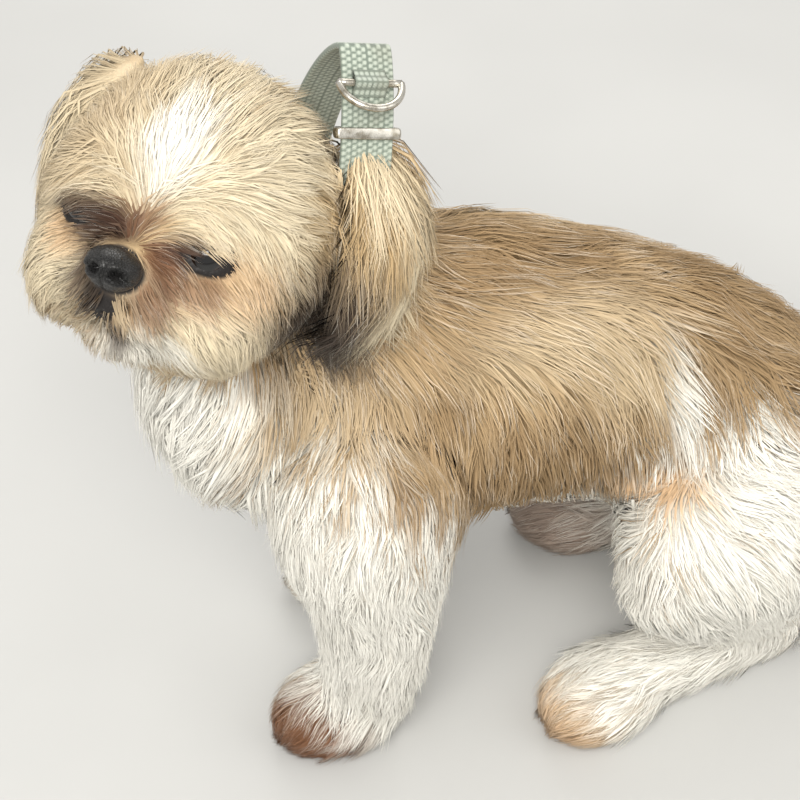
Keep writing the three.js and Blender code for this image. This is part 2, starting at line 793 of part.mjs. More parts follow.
const neckDirection = vec(-0.7, 0.1, 0.7).normalize();
const neckSide = vec(0, 1, 0).addScaledVector(neckDirection, -neckDirection.y).normalize();
const neckTop = neckDirection.clone().cross(neckSide);
const NECK_FRAME = [neckDirection, neckSide, neckTop];

function beyond(point, direction, grow) {
  const helper = Math.abs(direction.z) < 0.9 ? UP : vec(1, 0, 0);
  const side = helper.clone().cross(direction).normalize();
  const third = direction.clone().cross(side);
  const centre = point.clone().addScaledVector(direction, 400 - grow);
  return box(centre, [800, 900, 900], [direction, side, third]);
}

function foreRegion(s, grow) {
  const y = s * 74;
  return box(vec(-45, y, 50), [150 + 2 * grow, 124 + 2 * grow, 124 + 2 * grow]);
}
function hindRegion(s, grow) {
  const lowBox = box(vec(110, s * 64, 10), [190 + 2 * grow, 116 + 2 * grow, 68 + 2 * grow]);
  const a = rad(9) * s;
  const basis = [vec(1, 0, 0), vec(0, Math.cos(a), Math.sin(a)), vec(0, -Math.sin(a), Math.cos(a))];
  const size = [154 + 2 * grow, 90 + 2 * grow, 164 + 2 * grow];
  const highBox = box(vec(133, s * 94, 80), size, basis);
  return lowBox.add(highBox);
}
const tailPoint = vec(190, 0, 140);
const tailDirection = vec(0.977, 0, 0.213);
const headCut = onHead(-22, -10, -44);
const headDirection = vec(-0.45, -0.35, 0.82).normalize();
const neckCut = vec(-24, 0, 217);
const rumpCut = vec(92, 0, 150);
const rumpDirection = vec(0.9, 0, -0.44).normalize();

const leftForeleg = largest(whole.intersect(foreRegion(-1, 0)));
const rightForeleg = largest(whole.intersect(foreRegion(1, 0)));
const leftHindleg = largest(whole.intersect(hindRegion(-1, 0)));
const rightHindleg = largest(whole.intersect(hindRegion(1, 0)));
const tailPart = largest(whole.intersect(beyond(tailPoint, tailDirection, 0)));
const trunk = whole
  .subtract(foreRegion(-1, GAP))
  .subtract(foreRegion(1, GAP))
  .subtract(hindRegion(-1, GAP))
  .subtract(hindRegion(1, GAP))
  .subtract(beyond(tailPoint, tailDirection, GAP));
const headPart = largest(trunk.intersect(beyond(headCut, headDirection, 0)));
const lowerTrunk = trunk.subtract(beyond(headCut, headDirection, GAP));
const rumpPart = largest(lowerTrunk.intersect(beyond(rumpCut, rumpDirection, 0)));
const foreTrunk = lowerTrunk.subtract(beyond(rumpCut, rumpDirection, GAP));
const neckPart = largest(foreTrunk.intersect(beyond(neckCut, neckDirection, 0)));
const torsoPart = largest(foreTrunk.subtract(beyond(neckCut, neckDirection, GAP)));

// Ears: a flap lying on the side of the head, hollowed to it, with its own locks

function earPart(ear, side) {
  const lie = (root, along) => along.clone().addScaledVector(headLeft, 0.15 * side);
  const out = (root) => root.clone().sub(ear.points[2]).dot(headLeft) * side > -4;
  const hair = locksRoundTube(ear, { count: 2, from: 0.12, to: 0.5 }, 6, lie, SIZE.ear, [ear], out);
  let solid = ear.solid(insetOf(ear)).add(joined(hair));
  [...headForms, neck, torso].forEach((form) => {
    solid = solid.subtract(form.solid(insetOf(form) - GAP));
  });
  return largest(solid.intersect(ear.solid(-1.2)).subtract(collarRoom).subtract(fittingsRoom));
}

// The group

const group = new THREE.Group();
group.name = 'shih_tzu';

// Small faces merged, then only the largest closed surface kept, which fills any sealed hollow
function finished(solid) {
  const { vertProperties, triVerts } = solid.asOriginal().simplify(FINE_SMOOTHING).getMesh();
  return largest(new Manifold(new wasm.Mesh({ numProp: 3, vertProperties, triVerts }))).getMesh();
}

function meshOf(name, solid, colour, roughness, metalness = 0) {
  const mesh = finished(solid);
  const geometry = new THREE.BufferGeometry();
  geometry.setAttribute('position', new THREE.BufferAttribute(new Float32Array(mesh.vertProperties), 3));
  geometry.setIndex(Array.from(mesh.triVerts));
  geometry.computeVertexNormals();
  const material = new THREE.MeshStandardMaterial({ color: colour, roughness, metalness });
  material.name = name;
  const node = new THREE.Mesh(geometry, material);
  node.name = name;
  group.add(node);
}

meshOf('torso', torsoPart, '#b99a6c', 0.95);
meshOf('rump', rumpPart, '#b08d60', 0.95);
meshOf('neck', neckPart, '#cdb68d', 0.95);
meshOf('head', headPart, '#d9c9a4', 0.95);
meshOf('left_ear', earPart(leftEar, 1), '#9c8766', 0.95);
meshOf('right_ear', earPart(rightEar, -1), '#b7a27c', 0.95);
meshOf('left_eye', eyeBall(1, 0), '#1b120d', 0.08);
meshOf('right_eye', eyeBall(-1, 0), '#1c130e', 0.08);
meshOf('nose', noseBall(0).subtract(nostril(1)).subtract(nostril(-1)), '#1f1b1a', 0.4);
meshOf('left_foreleg', leftForeleg, '#e7e1d3', 0.95);
meshOf('right_foreleg', rightForeleg, '#e6e0d2', 0.95);
meshOf('left_hindleg', leftHindleg, '#e5dfd0', 0.95);
meshOf('right_hindleg', rightHindleg, '#e4decf', 0.95);
meshOf('tail', tailPart, '#b8976a', 0.95);
meshOf('collar', collarBand, '#98a69a', 0.85);
meshOf('collar_slider', slider(), '#c4c0b6', 0.3, 1);
meshOf('collar_ring', dRing(), '#c8c4ba', 0.25, 1);
meshOf('collar_keeper', keeper(), '#95a397', 0.85);

const bounds = new THREE.Box3().setFromObject(group);
const middle = bounds.getCenter(vec(0, 0, 0));
group.children.forEach((node) => {
  node.geometry.translate(-middle.x, -middle.y, -bounds.min.z);
});

export default group;
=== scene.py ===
# The looks of a shih tzu that stands low: one skin, a coat of solid tufts, eyes, nose and a raised collar.
# Lengths are millimetres in the dog's own frame, whose x is 0 under the withers, until a mesh is made.

import functools
import math

import bmesh
import bpy
import numpy as np
from mathutils import Matrix, Vector
from mathutils.bvhtree import BVHTree
from mathutils.kdtree import KDTree


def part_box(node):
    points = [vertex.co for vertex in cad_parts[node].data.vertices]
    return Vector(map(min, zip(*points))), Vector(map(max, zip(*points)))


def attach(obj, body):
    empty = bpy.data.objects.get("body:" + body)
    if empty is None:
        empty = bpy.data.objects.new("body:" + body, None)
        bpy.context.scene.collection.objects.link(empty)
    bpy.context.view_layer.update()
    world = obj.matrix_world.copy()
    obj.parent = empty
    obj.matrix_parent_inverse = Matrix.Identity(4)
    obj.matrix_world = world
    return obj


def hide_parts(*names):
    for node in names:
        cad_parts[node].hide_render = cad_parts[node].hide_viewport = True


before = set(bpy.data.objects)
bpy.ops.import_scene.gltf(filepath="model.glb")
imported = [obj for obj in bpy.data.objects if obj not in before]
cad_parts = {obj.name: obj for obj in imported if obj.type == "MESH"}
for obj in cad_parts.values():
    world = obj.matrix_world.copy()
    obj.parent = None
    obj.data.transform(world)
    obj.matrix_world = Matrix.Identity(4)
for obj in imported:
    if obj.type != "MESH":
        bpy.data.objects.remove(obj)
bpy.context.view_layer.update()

# Sizes of the dog

HEAD_CENTRE = np.array([-109.0, -12.0, 308.0])
HEAD_TURN = math.radians(55.5)
HEAD_LIFT = math.radians(32)
HEAD_TILT = math.radians(9)

EYE_FORWARD = 42.5
EYE_ASIDE = 23.5
EYE_RADIUS = 10.0
EYE_SPLAY = 0.34
NOSE_FORWARD = 69.5
NOSE_DROP = 11.0
NOSE_SIZE = np.array([9.5, 10.8, 8.8])

COLLAR_CENTRE = np.array([-53.0, 4.0, 284.0])
COLLAR_LEAN = math.radians(13)
COLLAR_HIGH = 80.0
COLLAR_WIDE = 37.0
COLLAR_PEAK = 1.6
WEBBING_WIDTH = 21.0
WEBBING_THICK = 2.6
SLIDER_ANGLE = 45.0
RING_ANGLE = 27.0
RING_RADIUS = 12.5
RING_WIRE = 1.5

MM = 0.001
DOWN = np.array([0.0, 0.0, -1.0])
BACK = np.array([1.0, 0.0, 0.0])
ASIDE = np.array([0.0, 1.0, 0.0])


def unit(v):
    v = np.asarray(v, float)
    return v / np.maximum(np.linalg.norm(v, axis=-1, keepdims=True), 1e-9)


def step01(x, low, high):
    """0 below low, 1 above high, smooth between."""
    t = np.clip((np.asarray(x, float) - low) / (high - low), 0, 1)
    return t * t * (3 - 2 * t)


def blend(a, b, t):
    return a + (b - a) * t


def soft_spot(x, middle, reach):
    """1 at the middle, falling off both ways."""
    return np.exp(-((x - middle) / reach) ** 2)


# Frame of the head

def head_axes():
    forward = np.array([
        -math.cos(HEAD_TURN) * math.cos(HEAD_LIFT),
        -math.sin(HEAD_TURN) * math.cos(HEAD_LIFT),
        math.sin(HEAD_LIFT),
    ])
    level_left = np.array([math.sin(HEAD_TURN), -math.cos(HEAD_TURN), 0.0])
    level_up = np.cross(forward, level_left)
    left = level_left * math.cos(HEAD_TILT) - level_up * math.sin(HEAD_TILT)
    return forward, left, np.cross(forward, left)


FORWARD, LEFT, UP = head_axes()
HEAD_FRAME = np.array([FORWARD, LEFT, UP])


def on_head(forward, left, up):
    return HEAD_CENTRE + FORWARD * forward + LEFT * left + UP * up


def in_head(points):
    return (points - HEAD_CENTRE) @ HEAD_FRAME.T


def eye_centre(side):
    return on_head(EYE_FORWARD, EYE_ASIDE * side, 0)


def eye_facing(side):
    return unit(FORWARD + LEFT * EYE_SPLAY * side)


# The CAD frame lies a little aside of the dog's own: the eye gives the step between them

low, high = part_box("left_eye")
SHIFT = eye_centre(1) - np.array((low + high) / 2) / MM


def to_metres(points):
    return (np.asarray(points) - SHIFT) * MM


# Plain shapes, as points and faces

def curved(points, steps):
    """A smooth run of rows through a few, some steps to each stretch."""
    points = np.asarray(points, float)
    last = len(points) - 1
    out = []
    for i in range(last):
        a, b, c, d = (points[min(max(i + k, 0), last)] for k in (-1, 0, 1, 2))
        for k in range(steps):
            t = k / steps
            out.append(0.5 * (2 * b + (c - a) * t + (2 * a - 5 * b + 4 * c - d) * t ** 2
                              + (3 * b - a - 3 * c + d) * t ** 3))
    out.append(points[last])
    return np.array(out)


def tube_faces(rings, sides):
    faces = []
    for i in range(rings - 1):
        for k in range(sides):
            j = (k + 1) % sides
            faces.append([i * sides + k, i * sides + j, (i + 1) * sides + j, (i + 1) * sides + k])
    faces.append(list(range(sides))[::-1])
    faces.append([(rings - 1) * sides + k for k in range(sides)])
    return faces


def circle(sides):
    return np.arange(sides) / sides * 2 * math.pi


ROD_ASIDE = (0.31, 0.23, 0.92)


def rod(points, radii, sides=10):
    """A closed round bar through points, for rims and wires."""
    points = np.asarray(points, float)
    radii = np.broadcast_to(radii, len(points))
    along = unit(np.gradient(points, axis=0))
    side = unit(np.cross(along, unit(ROD_ASIDE)))
    other = np.cross(along, side)
    angles = circle(sides)[:, None]
    spokes = side[:, None] * np.cos(angles) + other[:, None] * np.sin(angles)
    ring = points[:, None] + radii[:, None, None] * spokes
    return ring.reshape(-1, 3), tube_faces(len(points), sides)


def fine_ball(subdivisions):
    bm = bmesh.new()
    bmesh.ops.create_icosphere(bm, subdivisions=subdivisions, radius=1)
    bm.verts.ensure_lookup_table()
    points = np.array([v.co for v in bm.verts])
    faces = np.array([[v.index for v in f.verts] for f in bm.faces])
    bm.free()
    return points, faces


# Forms of the body, the same as in the solids. Each reaches out to the tips of the coat.

class Ball:
    def __init__(self, centre, radii, axes, hair, lie):
        self.centre = np.asarray(centre, float)
        self.radii = np.asarray(radii, float)
        self.axes = axes
        self.hair = hair
        self.lie = lie

    def read(self, points):
        """Distance outside the ball, and no direction along but one outward."""
        part = (points - self.centre) @ self.axes.T / self.radii
        near = np.linalg.norm(part, axis=1)
        slope = np.linalg.norm(part / self.radii, axis=1)
        outward = unit((part / self.radii) @ self.axes)
        return near * (near - 1) / np.maximum(slope, 1e-9), np.zeros_like(points), outward

    def mesh(self, inset):
        points, faces = fine_ball(4)
        return points * (self.radii - inset) @ self.axes + self.centre, faces


class Tube:
    """A limb through stations: place, half height and, where it isn't the same, half width."""

    SIDES = 28
    STEPS = 4
    LEAST_HALF = 3
    END_INSET = 0.7

    def __init__(self, stations, hair, lie, side=ASIDE):
        rows = curved([list(s) + [s[3]] * (5 - len(s)) for s in stations], self.STEPS)
        self.points, self.high, self.wide = rows[:, :3], rows[:, 3], rows[:, 4]
        self.along = unit(np.gradient(self.points, axis=0))
        self.lateral = unit(side - self.along * (self.along @ side)[:, None])
        self.top = np.cross(self.along, self.lateral)
        self.hair = hair
        self.lie = lie

    def mesh(self, inset):
        angles = circle(self.SIDES)
        cut = np.minimum(inset, np.minimum(self.high, self.wide) - self.LEAST_HALF)[:, None]
        ring = (self.points[:, None]
                + self.lateral[:, None] * (np.cos(angles) * (self.wide[:, None] - cut))[..., None]
                + self.top[:, None] * (np.sin(angles) * (self.high[:, None] - cut))[..., None])
        ring[0] += self.along[0] * inset * self.END_INSET
        ring[-1] -= self.along[-1] * inset * self.END_INSET
        return ring.reshape(-1, 3), tube_faces(len(ring), self.SIDES)

    def read(self, points):
        """Distance outside the tube, and the directions along it and outward, at its nearest stretch."""
        best = np.full(len(points), np.inf)
        along = np.zeros((len(points), 3))
        outward = np.zeros((len(points), 3))
        for i in range(len(self.points) - 1):
            leg = self.points[i + 1] - self.points[i]
            away = points - self.points[i]
            t = np.clip(away @ leg / (leg @ leg), 0, 1)[:, None]
            rest = away - leg * t
            high = blend(self.high[i], self.high[i + 1], t[:, 0])
            wide = blend(self.wide[i], self.wide[i + 1], t[:, 0])
            side = rest @ self.lateral[i]
            other = np.sqrt(np.maximum((rest * rest).sum(1) - side * side, 0))
            near = np.hypot(side / wide, other / high)
            slope = np.maximum(np.hypot(side / wide ** 2, other / high ** 2), 1e-9)
            value = near * (near - 1) / slope
            closer = value < best
            best = np.where(closer, value, best)
            along = np.where(closer[:, None], self.along[i], along)
            outward = np.where(closer[:, None], rest, outward)
        return best, along, unit(outward)


# Kinds of hair: depth of the coat, length and width of a tuft, how densely tufts stand, how freely they hang,
# how much they wave and how far their tips stand off

DEPTH, LONG, WIDE, DENSE, FREE, WAVE, FLUFF = range(7)


def kind(depth, long, wide, dense, free, wave, fluff):
    return np.array([depth, long, wide, dense, free, wave, fluff], float)


BODY_HAIR = kind(15, 33, 0.62, 32, 0.0, 0.8, 0.12)
NECK_HAIR = kind(15, 34, 0.62, 34, 0.1, 1.1, 0.4)
BIB_HAIR = kind(17, 42, 0.6, 40, 0.45, 1.7, 1.1)
SKULL_HAIR = kind(12, 27, 0.48, 60, 0.0, 1.1, 0.8)
FACE_HAIR = kind(7, 14, 0.34, 110, 0.0, 0.4, 0.4)
CHEEK_HAIR = kind(12, 28, 0.44, 76, 0.2, 1.1, 1.0)
LIP_HAIR = kind(7, 18, 0.32, 130, 0.3, 0.8, 0.9)
EAR_HAIR = kind(9, 33, 0.44, 84, 0.3, 2.6, 0.8)
THIGH_HAIR = kind(13, 31, 0.62, 38, 0.05, 1.5, 0.7)
LEG_HAIR = kind(10, 25, 0.54, 50, 0.1, 1.8, 0.9)
PAW_HAIR = kind(7, 21, 0.46, 66, 0.1, 1.1, 1.0)
TAIL_HAIR = kind(15, 42, 0.66, 36, 0.5, 1.6, 0.9)


WAVES = 7


def drift(points, wavelength, seed):
    """A smooth number wandering round 0 over the body, about 1 at its peaks."""
    rng = np.random.default_rng(seed)
    total = np.zeros(len(points))
    for _ in range(WAVES):
        heading = unit(rng.normal(size=3))
        pitch = 2 * math.pi / (wavelength * rng.uniform(0.7, 1.4))
        total += np.sin(points @ heading * pitch + rng.uniform(0, 2 * math.pi))
    return total / 3


# Lie of the coat. Each takes points, the direction along its form and the direction outward, and leans
# the hair's own way against the others by shares.

BIB_MIDDLE = 4
BIB_SPREAD = 0.012
BIB_AHEAD = np.array([-0.6, -0.1, 0])
HEAD_HALF = 55
BEHIND_FROM, BEHIND_DEEP = 20, 40
BROW_FROM, BROW_FULL = 22, 36
BROW_UP, BROW_TALL = 13, 9
BROW_ASIDE, BROW_WIDE = 25, 14
EAR_REAR, EAR_EDGE = 14, 42


def lie_back(points, along, outward):
    low_side = np.clip(0.5 - 0.5 * outward[:, 2], 0, 1)[:, None]
    share = blend(0.2, 0.93, step01(low_side, -0.02, 0.26))
    return along * (1 - share) + DOWN * share


def lie_neck(points, along, outward):
    share = blend(0.25, 0.8, step01(-outward[:, 2:3], -0.5, 0.3))
    return -along * (1 - share) + DOWN * share


def lie_bib(points, along, outward):
    return DOWN * 0.65 + ASIDE * (points[:, 1:2] + BIB_MIDDLE) * BIB_SPREAD + BIB_AHEAD


FACE_ROOT = on_head(62, 0, -1)
MUZZLE_ROOT = on_head(58, 0, -10)


def lie_head(points, along, outward):
    """Away from the root of the nose, back and down at the sides, and from the brows down over the eyes."""
    away = unit(points - FACE_ROOT)
    forward, left, up = (in_head(points)[:, k:k + 1] for k in range(3))
    side = np.clip(np.abs(left) / HEAD_HALF, 0, 1)
    behind = step01(BEHIND_FROM - forward, 0, BEHIND_DEEP) * (1 + 1.4 * side ** 2)
    brow = step01(forward, BROW_FROM, BROW_FULL) * soft_spot(up, BROW_UP, BROW_TALL) * soft_spot(
        np.abs(left), BROW_ASIDE, BROW_WIDE)
    drape = LEFT * np.where(left > 0, 1.1, 0.1) - UP * 1.2
    return away + DOWN * (0.45 * behind + 1.2 * side ** 2) - UP * 0.25 * side + drape * brow * 1.3


def lie_muzzle(points, along, outward):
    away = unit(points - MUZZLE_ROOT)
    return away * 0.9 + DOWN * 0.35 + LEFT * np.sign(in_head(points)[:, 1:2]) * 0.25 - FORWARD * 0.15


def lie_down_along(points, along, outward):
    return along * 0.65 + DOWN * 0.35


def lie_ear(points, along, outward):
    """Down the ear, and flaring backward toward its rear edge and its tip."""
    rear = step01(-in_head(points)[:, :1], EAR_REAR, EAR_EDGE)
    return along * 0.85 + DOWN * 0.35 - FORWARD * rear * 0.55


def lie_thigh(points, along, outward):
    return DOWN * 0.85 + BACK * 0.35


def lie_along(points, along, outward):
    return along


def lie_tail(points, along, outward):
    return along + outward * 0.3


def lie_paw(heading):
    ahead = np.array([-math.cos(heading), math.sin(heading), 0.0])

    def lie(points, along, outward):
        return ahead * 0.8 + DOWN * 0.35
    return lie


def mirrored(rows):
    return [(r[0], -r[1]) + tuple(r[2:]) for r in rows]


PAW_UP = 15
PAW_RADII = (35, 28, 21)


def paw(x, y, degrees):
    a = math.radians(degrees)
    axes = np.array([[-math.cos(a), math.sin(a), 0], [-math.sin(a), -math.cos(a), 0], [0, 0, 1]])
    return Ball((x, y, PAW_UP), PAW_RADII, axes, PAW_HAIR, lie_paw(a))


TORSO_ROWS = [
    (-84, 0, 176, 18, 20),
    (-76, 0, 182, 44, 40),
    (-50, 0, 191, 66, 57),
    (-20, 0, 193, 75, 65),
    (10, 0, 190, 74, 66),
    (45, 0, 182, 69, 62),
    (80, 0, 169, 64, 60),
    (110, 0, 149, 64, 62),
    (136, 0, 121, 65, 65),
    (156, 0, 92, 59, 62),
    (170, 0, 70, 42, 50),
    (178, 0, 57, 18, 26),
]
NECK_ROWS = [
    (-14, 0, 208, 58, 52),
    (-48, 1, 245, 45, 43),
    (-72, 4, 268, 44, 44),
    (-92, 8, 288, 40, 42),
]
BIB_ROWS = [
    (-90, 3, 266, 26, 32),
    (-101, -2, 236, 37, 42),
    (-100, -5, 202, 37, 44),
    (-88, -4, 171, 29, 39),
    (-74, -2, 152, 14, 24),
]
LEFT_EAR_ROWS = [
    (-14, 42, 49, 12, 8),
    (-20, 55, 41, 22, 12),
    (-25, 65, 24, 27, 16),
    (-27, 69, 5, 27, 17),
    (-24, 68, -14, 20, 13),
    (-19, 65, -29, 9, 7),
]
RIGHT_EAR_ROWS = [
    (-14, 42, 46, 12, 8),
    (-20, 55, 36, 24, 11),
    (-24, 61, 17, 28, 12),
    (-26, 62, -4, 26, 12),
    (-23, 60, -24, 19, 10),
    (-20, 58, -37, 9, 6),
]
LEFT_FORE_ROWS = [
    (-52, -36, 204, 16),
    (-51, -39, 194, 36),
    (-48, -42, 172, 45),
    (-50, -46, 146, 42),
    (-48, -47, 124, 36),
    (-46, -45, 82, 29),
    (-47, -40, 48, 26),
    (-50, -36, 26, 25),
    (-51, -35, 10, 22),
]
RIGHT_FORE_ROWS = [
    (-52, 36, 204, 16),
    (-51, 39, 194, 36),
    (-46, 42, 172, 43),
    (-31, 47, 146, 37),
    (-20, 50, 124, 31),
    (-20, 50, 82, 27),
    (-22, 50, 48, 26),
    (-23, 50, 26, 25),
    (-24, 50, 10, 22),
]
HIND_UPPER_ROWS = [
    (176, -32, 84, 16),
    (168, -35, 88, 38),
    (148, -42, 97, 51),
    (122, -52, 107, 52),
    (97, -62, 110, 43),
    (80, -67, 106, 33),
    (71, -69, 102, 14),
]
HIND_LOWER_ROWS = [
    (76, -70, 112, 14),
    (84, -69, 105, 30),
    (112, -58, 78, 31),
    (142, -45, 48, 27),
    (160, -37, 30, 22),
]
HIND_FOOT_ROWS = [
    (176, -32, 18, 9),
    (170, -34, 17, 18),
    (156, -39, 15, 21),
    (124, -46, 16, 21),
    (90, -54, 17, 22),
    (66, -60, 16, 23),
]
HEEL = 156
FOOT_LONG = 90
FAR_FOOT_BACK = 27
FAR_FOOT_IN = 4
TAIL_ROWS = [
    (166, 0, 132, 20, 20),
    (190, 0, 140, 23, 23),
    (214, -2, 130, 27, 27),
    (234, -4, 100, 30, 30),
    (247, -7, 64, 28, 28),
    (262, -11, 36, 21, 24),
    (280, -15, 24, 10, 14),
]


def ear(rows, side):
    stations = [tuple(on_head(f, l * side, u)) + (h, w) for f, l, u, h, w in rows]
    return Tube(stations, EAR_HAIR, lie_ear, LEFT)


def head_ball(forward, left, up, radii, hair, lie=lie_head):
    return Ball(on_head(forward, left, up), radii, HEAD_FRAME, hair, lie)


def drawn_back(row):
    """A station of the far hind foot, from its heel on drawn back by ever more."""
    share = min(max((HEEL - row[0]) / FOOT_LONG, 0), 1)
    return (row[0] + FAR_FOOT_BACK * share, row[1] - FAR_FOOT_IN * share) + tuple(row[2:])


def hind_leg(rows_side, foot_rows):
    return [
        Tube(rows_side(HIND_UPPER_ROWS), THIGH_HAIR, lie_thigh),
        Tube(rows_side(HIND_LOWER_ROWS), LEG_HAIR, lie_down_along),
        Tube(foot_rows, LEG_HAIR, lie_along),
    ]


FORMS = {
    "torso": [Tube(TORSO_ROWS, BODY_HAIR, lie_back)],
    "neck": [Tube(NECK_ROWS, NECK_HAIR, lie_neck), Tube(BIB_ROWS, BIB_HAIR, lie_bib)],
    "head": [
        head_ball(0, 0, 0, (59, 61, 64), SKULL_HAIR),
        head_ball(8, 0, -2, (52, 58, 50), FACE_HAIR),
        head_ball(26, 0, 22, (30, 42, 28), SKULL_HAIR * [0.6, 0.8, 1, 1, 1, 1, 1]),
    ],
    "muzzle": [
        head_ball(24, 26, -24, (33, 27, 30), CHEEK_HAIR),
        head_ball(24, -26, -24, (33, 27, 30), CHEEK_HAIR),
        head_ball(56, 0, -9, (12, 13, 11), FACE_HAIR),
        head_ball(46, 12, -26, (18, 17, 15), LIP_HAIR, lie_muzzle),
        head_ball(46, -12, -26, (18, 17, 15), LIP_HAIR, lie_muzzle),
        head_ball(37, 0, -40, (21, 20, 14), LIP_HAIR, lie_muzzle),
    ],
    "left_ear": [ear(LEFT_EAR_ROWS, 1)],
    "right_ear": [ear(RIGHT_EAR_ROWS, -1)],
    "left_foreleg": [Tube(LEFT_FORE_ROWS, LEG_HAIR, lie_down_along), paw(-62, -34, -12)],
    "right_foreleg": [Tube(RIGHT_FORE_ROWS, LEG_HAIR, lie_down_along), paw(-34, 50, 8)],
    "left_hindleg": hind_leg(list, HIND_FOOT_ROWS) + [paw(62, -61, -22)],
    "right_hindleg": hind_leg(mirrored, [drawn_back(row) for row in mirrored(HIND_FOOT_ROWS)])
    + [paw(62 + FAR_FOOT_BACK, 57, 22)],
    "tail": [Tube(TAIL_ROWS, TAIL_HAIR, lie_tail)],
}
ALL_FORMS = [form for group in FORMS.values() for form in group]
REGIONS = list(FORMS)

# Coat and lie over the skin: every form has its say near its own surface

SKIN_SHARE = 0.55
BLEND_REACH = 7.0


def surroundings(points):
    """Hair, lie and region at each point, run softly together over the forms."""
    distances, lies = [], []
    for form in ALL_FORMS:
        distance, along, outward = form.read(points)
        distances.append(distance + form.hair[DEPTH] * SKIN_SHARE)
        lies.append(np.broadcast_to(unit(form.lie(points, along, outward)), points.shape))
    distances = np.array(distances)
    weight = np.exp(-(distances - distances.min(0)) / BLEND_REACH)
    weight /= weight.sum(0)
    hair = weight.T @ np.array([form.hair for form in ALL_FORMS])
    lie = np.einsum("fp,fpk->pk", weight, np.array(lies))
    owner = np.concatenate([[i] * len(group) for i, group in enumerate(FORMS.values())])
    return hair, lie, owner[distances.argmin(0)]


# Meshes

def mesh_of(name, points, faces):
    """A mesh from points in the dog's frame and triangles."""
    faces = np.asarray(faces)
    mesh = bpy.data.meshes.new(name)
    mesh.vertices.add(len(points))
    mesh.vertices.foreach_set("co", to_metres(points).astype(np.float32).ravel())
    mesh.loops.add(faces.size)
    mesh.loops.foreach_set("vertex_index", faces.astype(np.int32).ravel())
    mesh.polygons.add(len(faces))
    mesh.polygons.foreach_set("loop_start", np.arange(len(faces), dtype=np.int32) * 3)
    mesh.polygons.foreach_set("use_smooth", np.ones(len(faces), bool))
    mesh.update(calc_edges=True)
    return mesh


def placed(name, mesh, finish=None):
    piece = bpy.data.objects.new(name, mesh)
    bpy.context.scene.collection.objects.link(piece)
    if finish:
        mesh.materials.append(finish)
    return piece


def store(mesh, name, values):
    """A named number or vector at every point of a mesh."""
    values = np.asarray(values, np.float32)
    kinds = {len(mesh.vertices): ("FLOAT", "value"), len(mesh.vertices) * 3: ("FLOAT_VECTOR", "vector")}
    data_type, field = kinds[values.size]
    mesh.attributes.new(name, data_type, "POINT").data.foreach_set(field, values.ravel())


def stand_in(name, node, mesh, finish, **values):
    """A visible piece that takes the place of one node."""
    for key, numbers in values.items():
        store(mesh, key, numbers)
    piece = placed(name, mesh, finish)
    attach(piece, "root")
    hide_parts(node)


def triangles(faces):
    return [[f[0], f[i], f[i + 1]] for f in faces for i in range(1, len(f) - 1)]


def facing_out(points, faces):
    a, b, c = (points[faces[:, k]] for k in range(3))
    volume = np.einsum("ij,ij->i", a, np.cross(b, c)).sum()
    return faces if volume > 0 else faces[:, ::-1]


def gathered(shapes):
    """One set of points and triangles from several closed shapes."""
    points, faces, count = [], [], 0
    for shape_points, shape_faces in shapes:
        shape_faces = facing_out(shape_points, np.array(triangles(shape_faces)))
        points.append(shape_points)
        faces.append(shape_faces + count)
        count += len(shape_points)
    return np.concatenate(points), np.concatenate(faces)


def read_out(collection, field, width, dtype=np.float32):
    """Every item's field of a mesh's collection, as rows."""
    values = np.empty(len(collection) * width, dtype)
    collection.foreach_get(field, values)
    return values.reshape(-1, width)


def mesh_points(mesh):
    return read_out(mesh.vertices, "co", 3) / MM + SHIFT


def mesh_triangles(mesh):
    mesh.calc_loop_triangles()
    return read_out(mesh.loop_triangles, "vertices", 3, np.int32)


def search_tree(points, faces):
    return BVHTree.FromPolygons([tuple(p) for p in points], [tuple(f) for f in faces.tolist()])


def nearest(tree, targets):
    """The nearest place in a tree's triangles to each target, and the triangle it lies on."""
    spots = np.empty((len(targets), 3))
    found = np.empty(len(targets), int)
    for i, target in enumerate(targets):
        spots[i], _, found[i], _ = tree.find_nearest(target)
    return spots, found


def modified(mesh, *steps):
    """The mesh after the given modifiers, each a kind and its settings."""
    holder = placed("holder", mesh)
    for step, settings in steps:
        modifier = holder.modifiers.new(step, step)
        for key, value in settings.items():
            setattr(modifier, key, value)
    depsgraph = bpy.context.evaluated_depsgraph_get()
    made = bpy.data.meshes.new_from_object(holder.evaluated_get(depsgraph))
    bpy.data.objects.remove(holder)
    return made


# The skin

VOXEL = 1.65
LID_OPEN = (8.2, 4.3)
LID_DROP = 0.8
LID_ROUND = 10.3
LID_BALL = 10.7
LID_THICK = 1.25
LID_TURNS = (0, 0.33, 0.67, 1)
LIP_THICK = 1.7
LIP_STEPS = 5
UPPER_LIP = [
    (67, 0, -21), (65.5, 0.6, -26.5), (63, 6.5, -29.5), (56.5, 14, -32.5), (48, 21, -35), (38, 25, -37)]
LOWER_LIP = [(49, -18, -36.5), (57.5, -9, -34.5), (62, 0, -32), (57.5, 9, -34.5), (49, 18, -36.5)]
MOUND = (11.5, 13, 11.5)
MOUND_BACK = 4
NOSE_BED = (on_head(57, 0, -15), (12, 15, 13))


def lip_line(side):
    """Lower edge of the upper lip, from under the nose to the corner of the mouth."""
    return curved([on_head(forward, aside * side, up) for forward, aside, up in UPPER_LIP], LIP_STEPS)


def lower_lip():
    return curved([on_head(*spot) for spot in LOWER_LIP], LIP_STEPS)


def lid_axes(side):
    facing = eye_facing(side)
    across = unit(np.cross(UP, facing))
    return across, np.cross(facing, across), facing


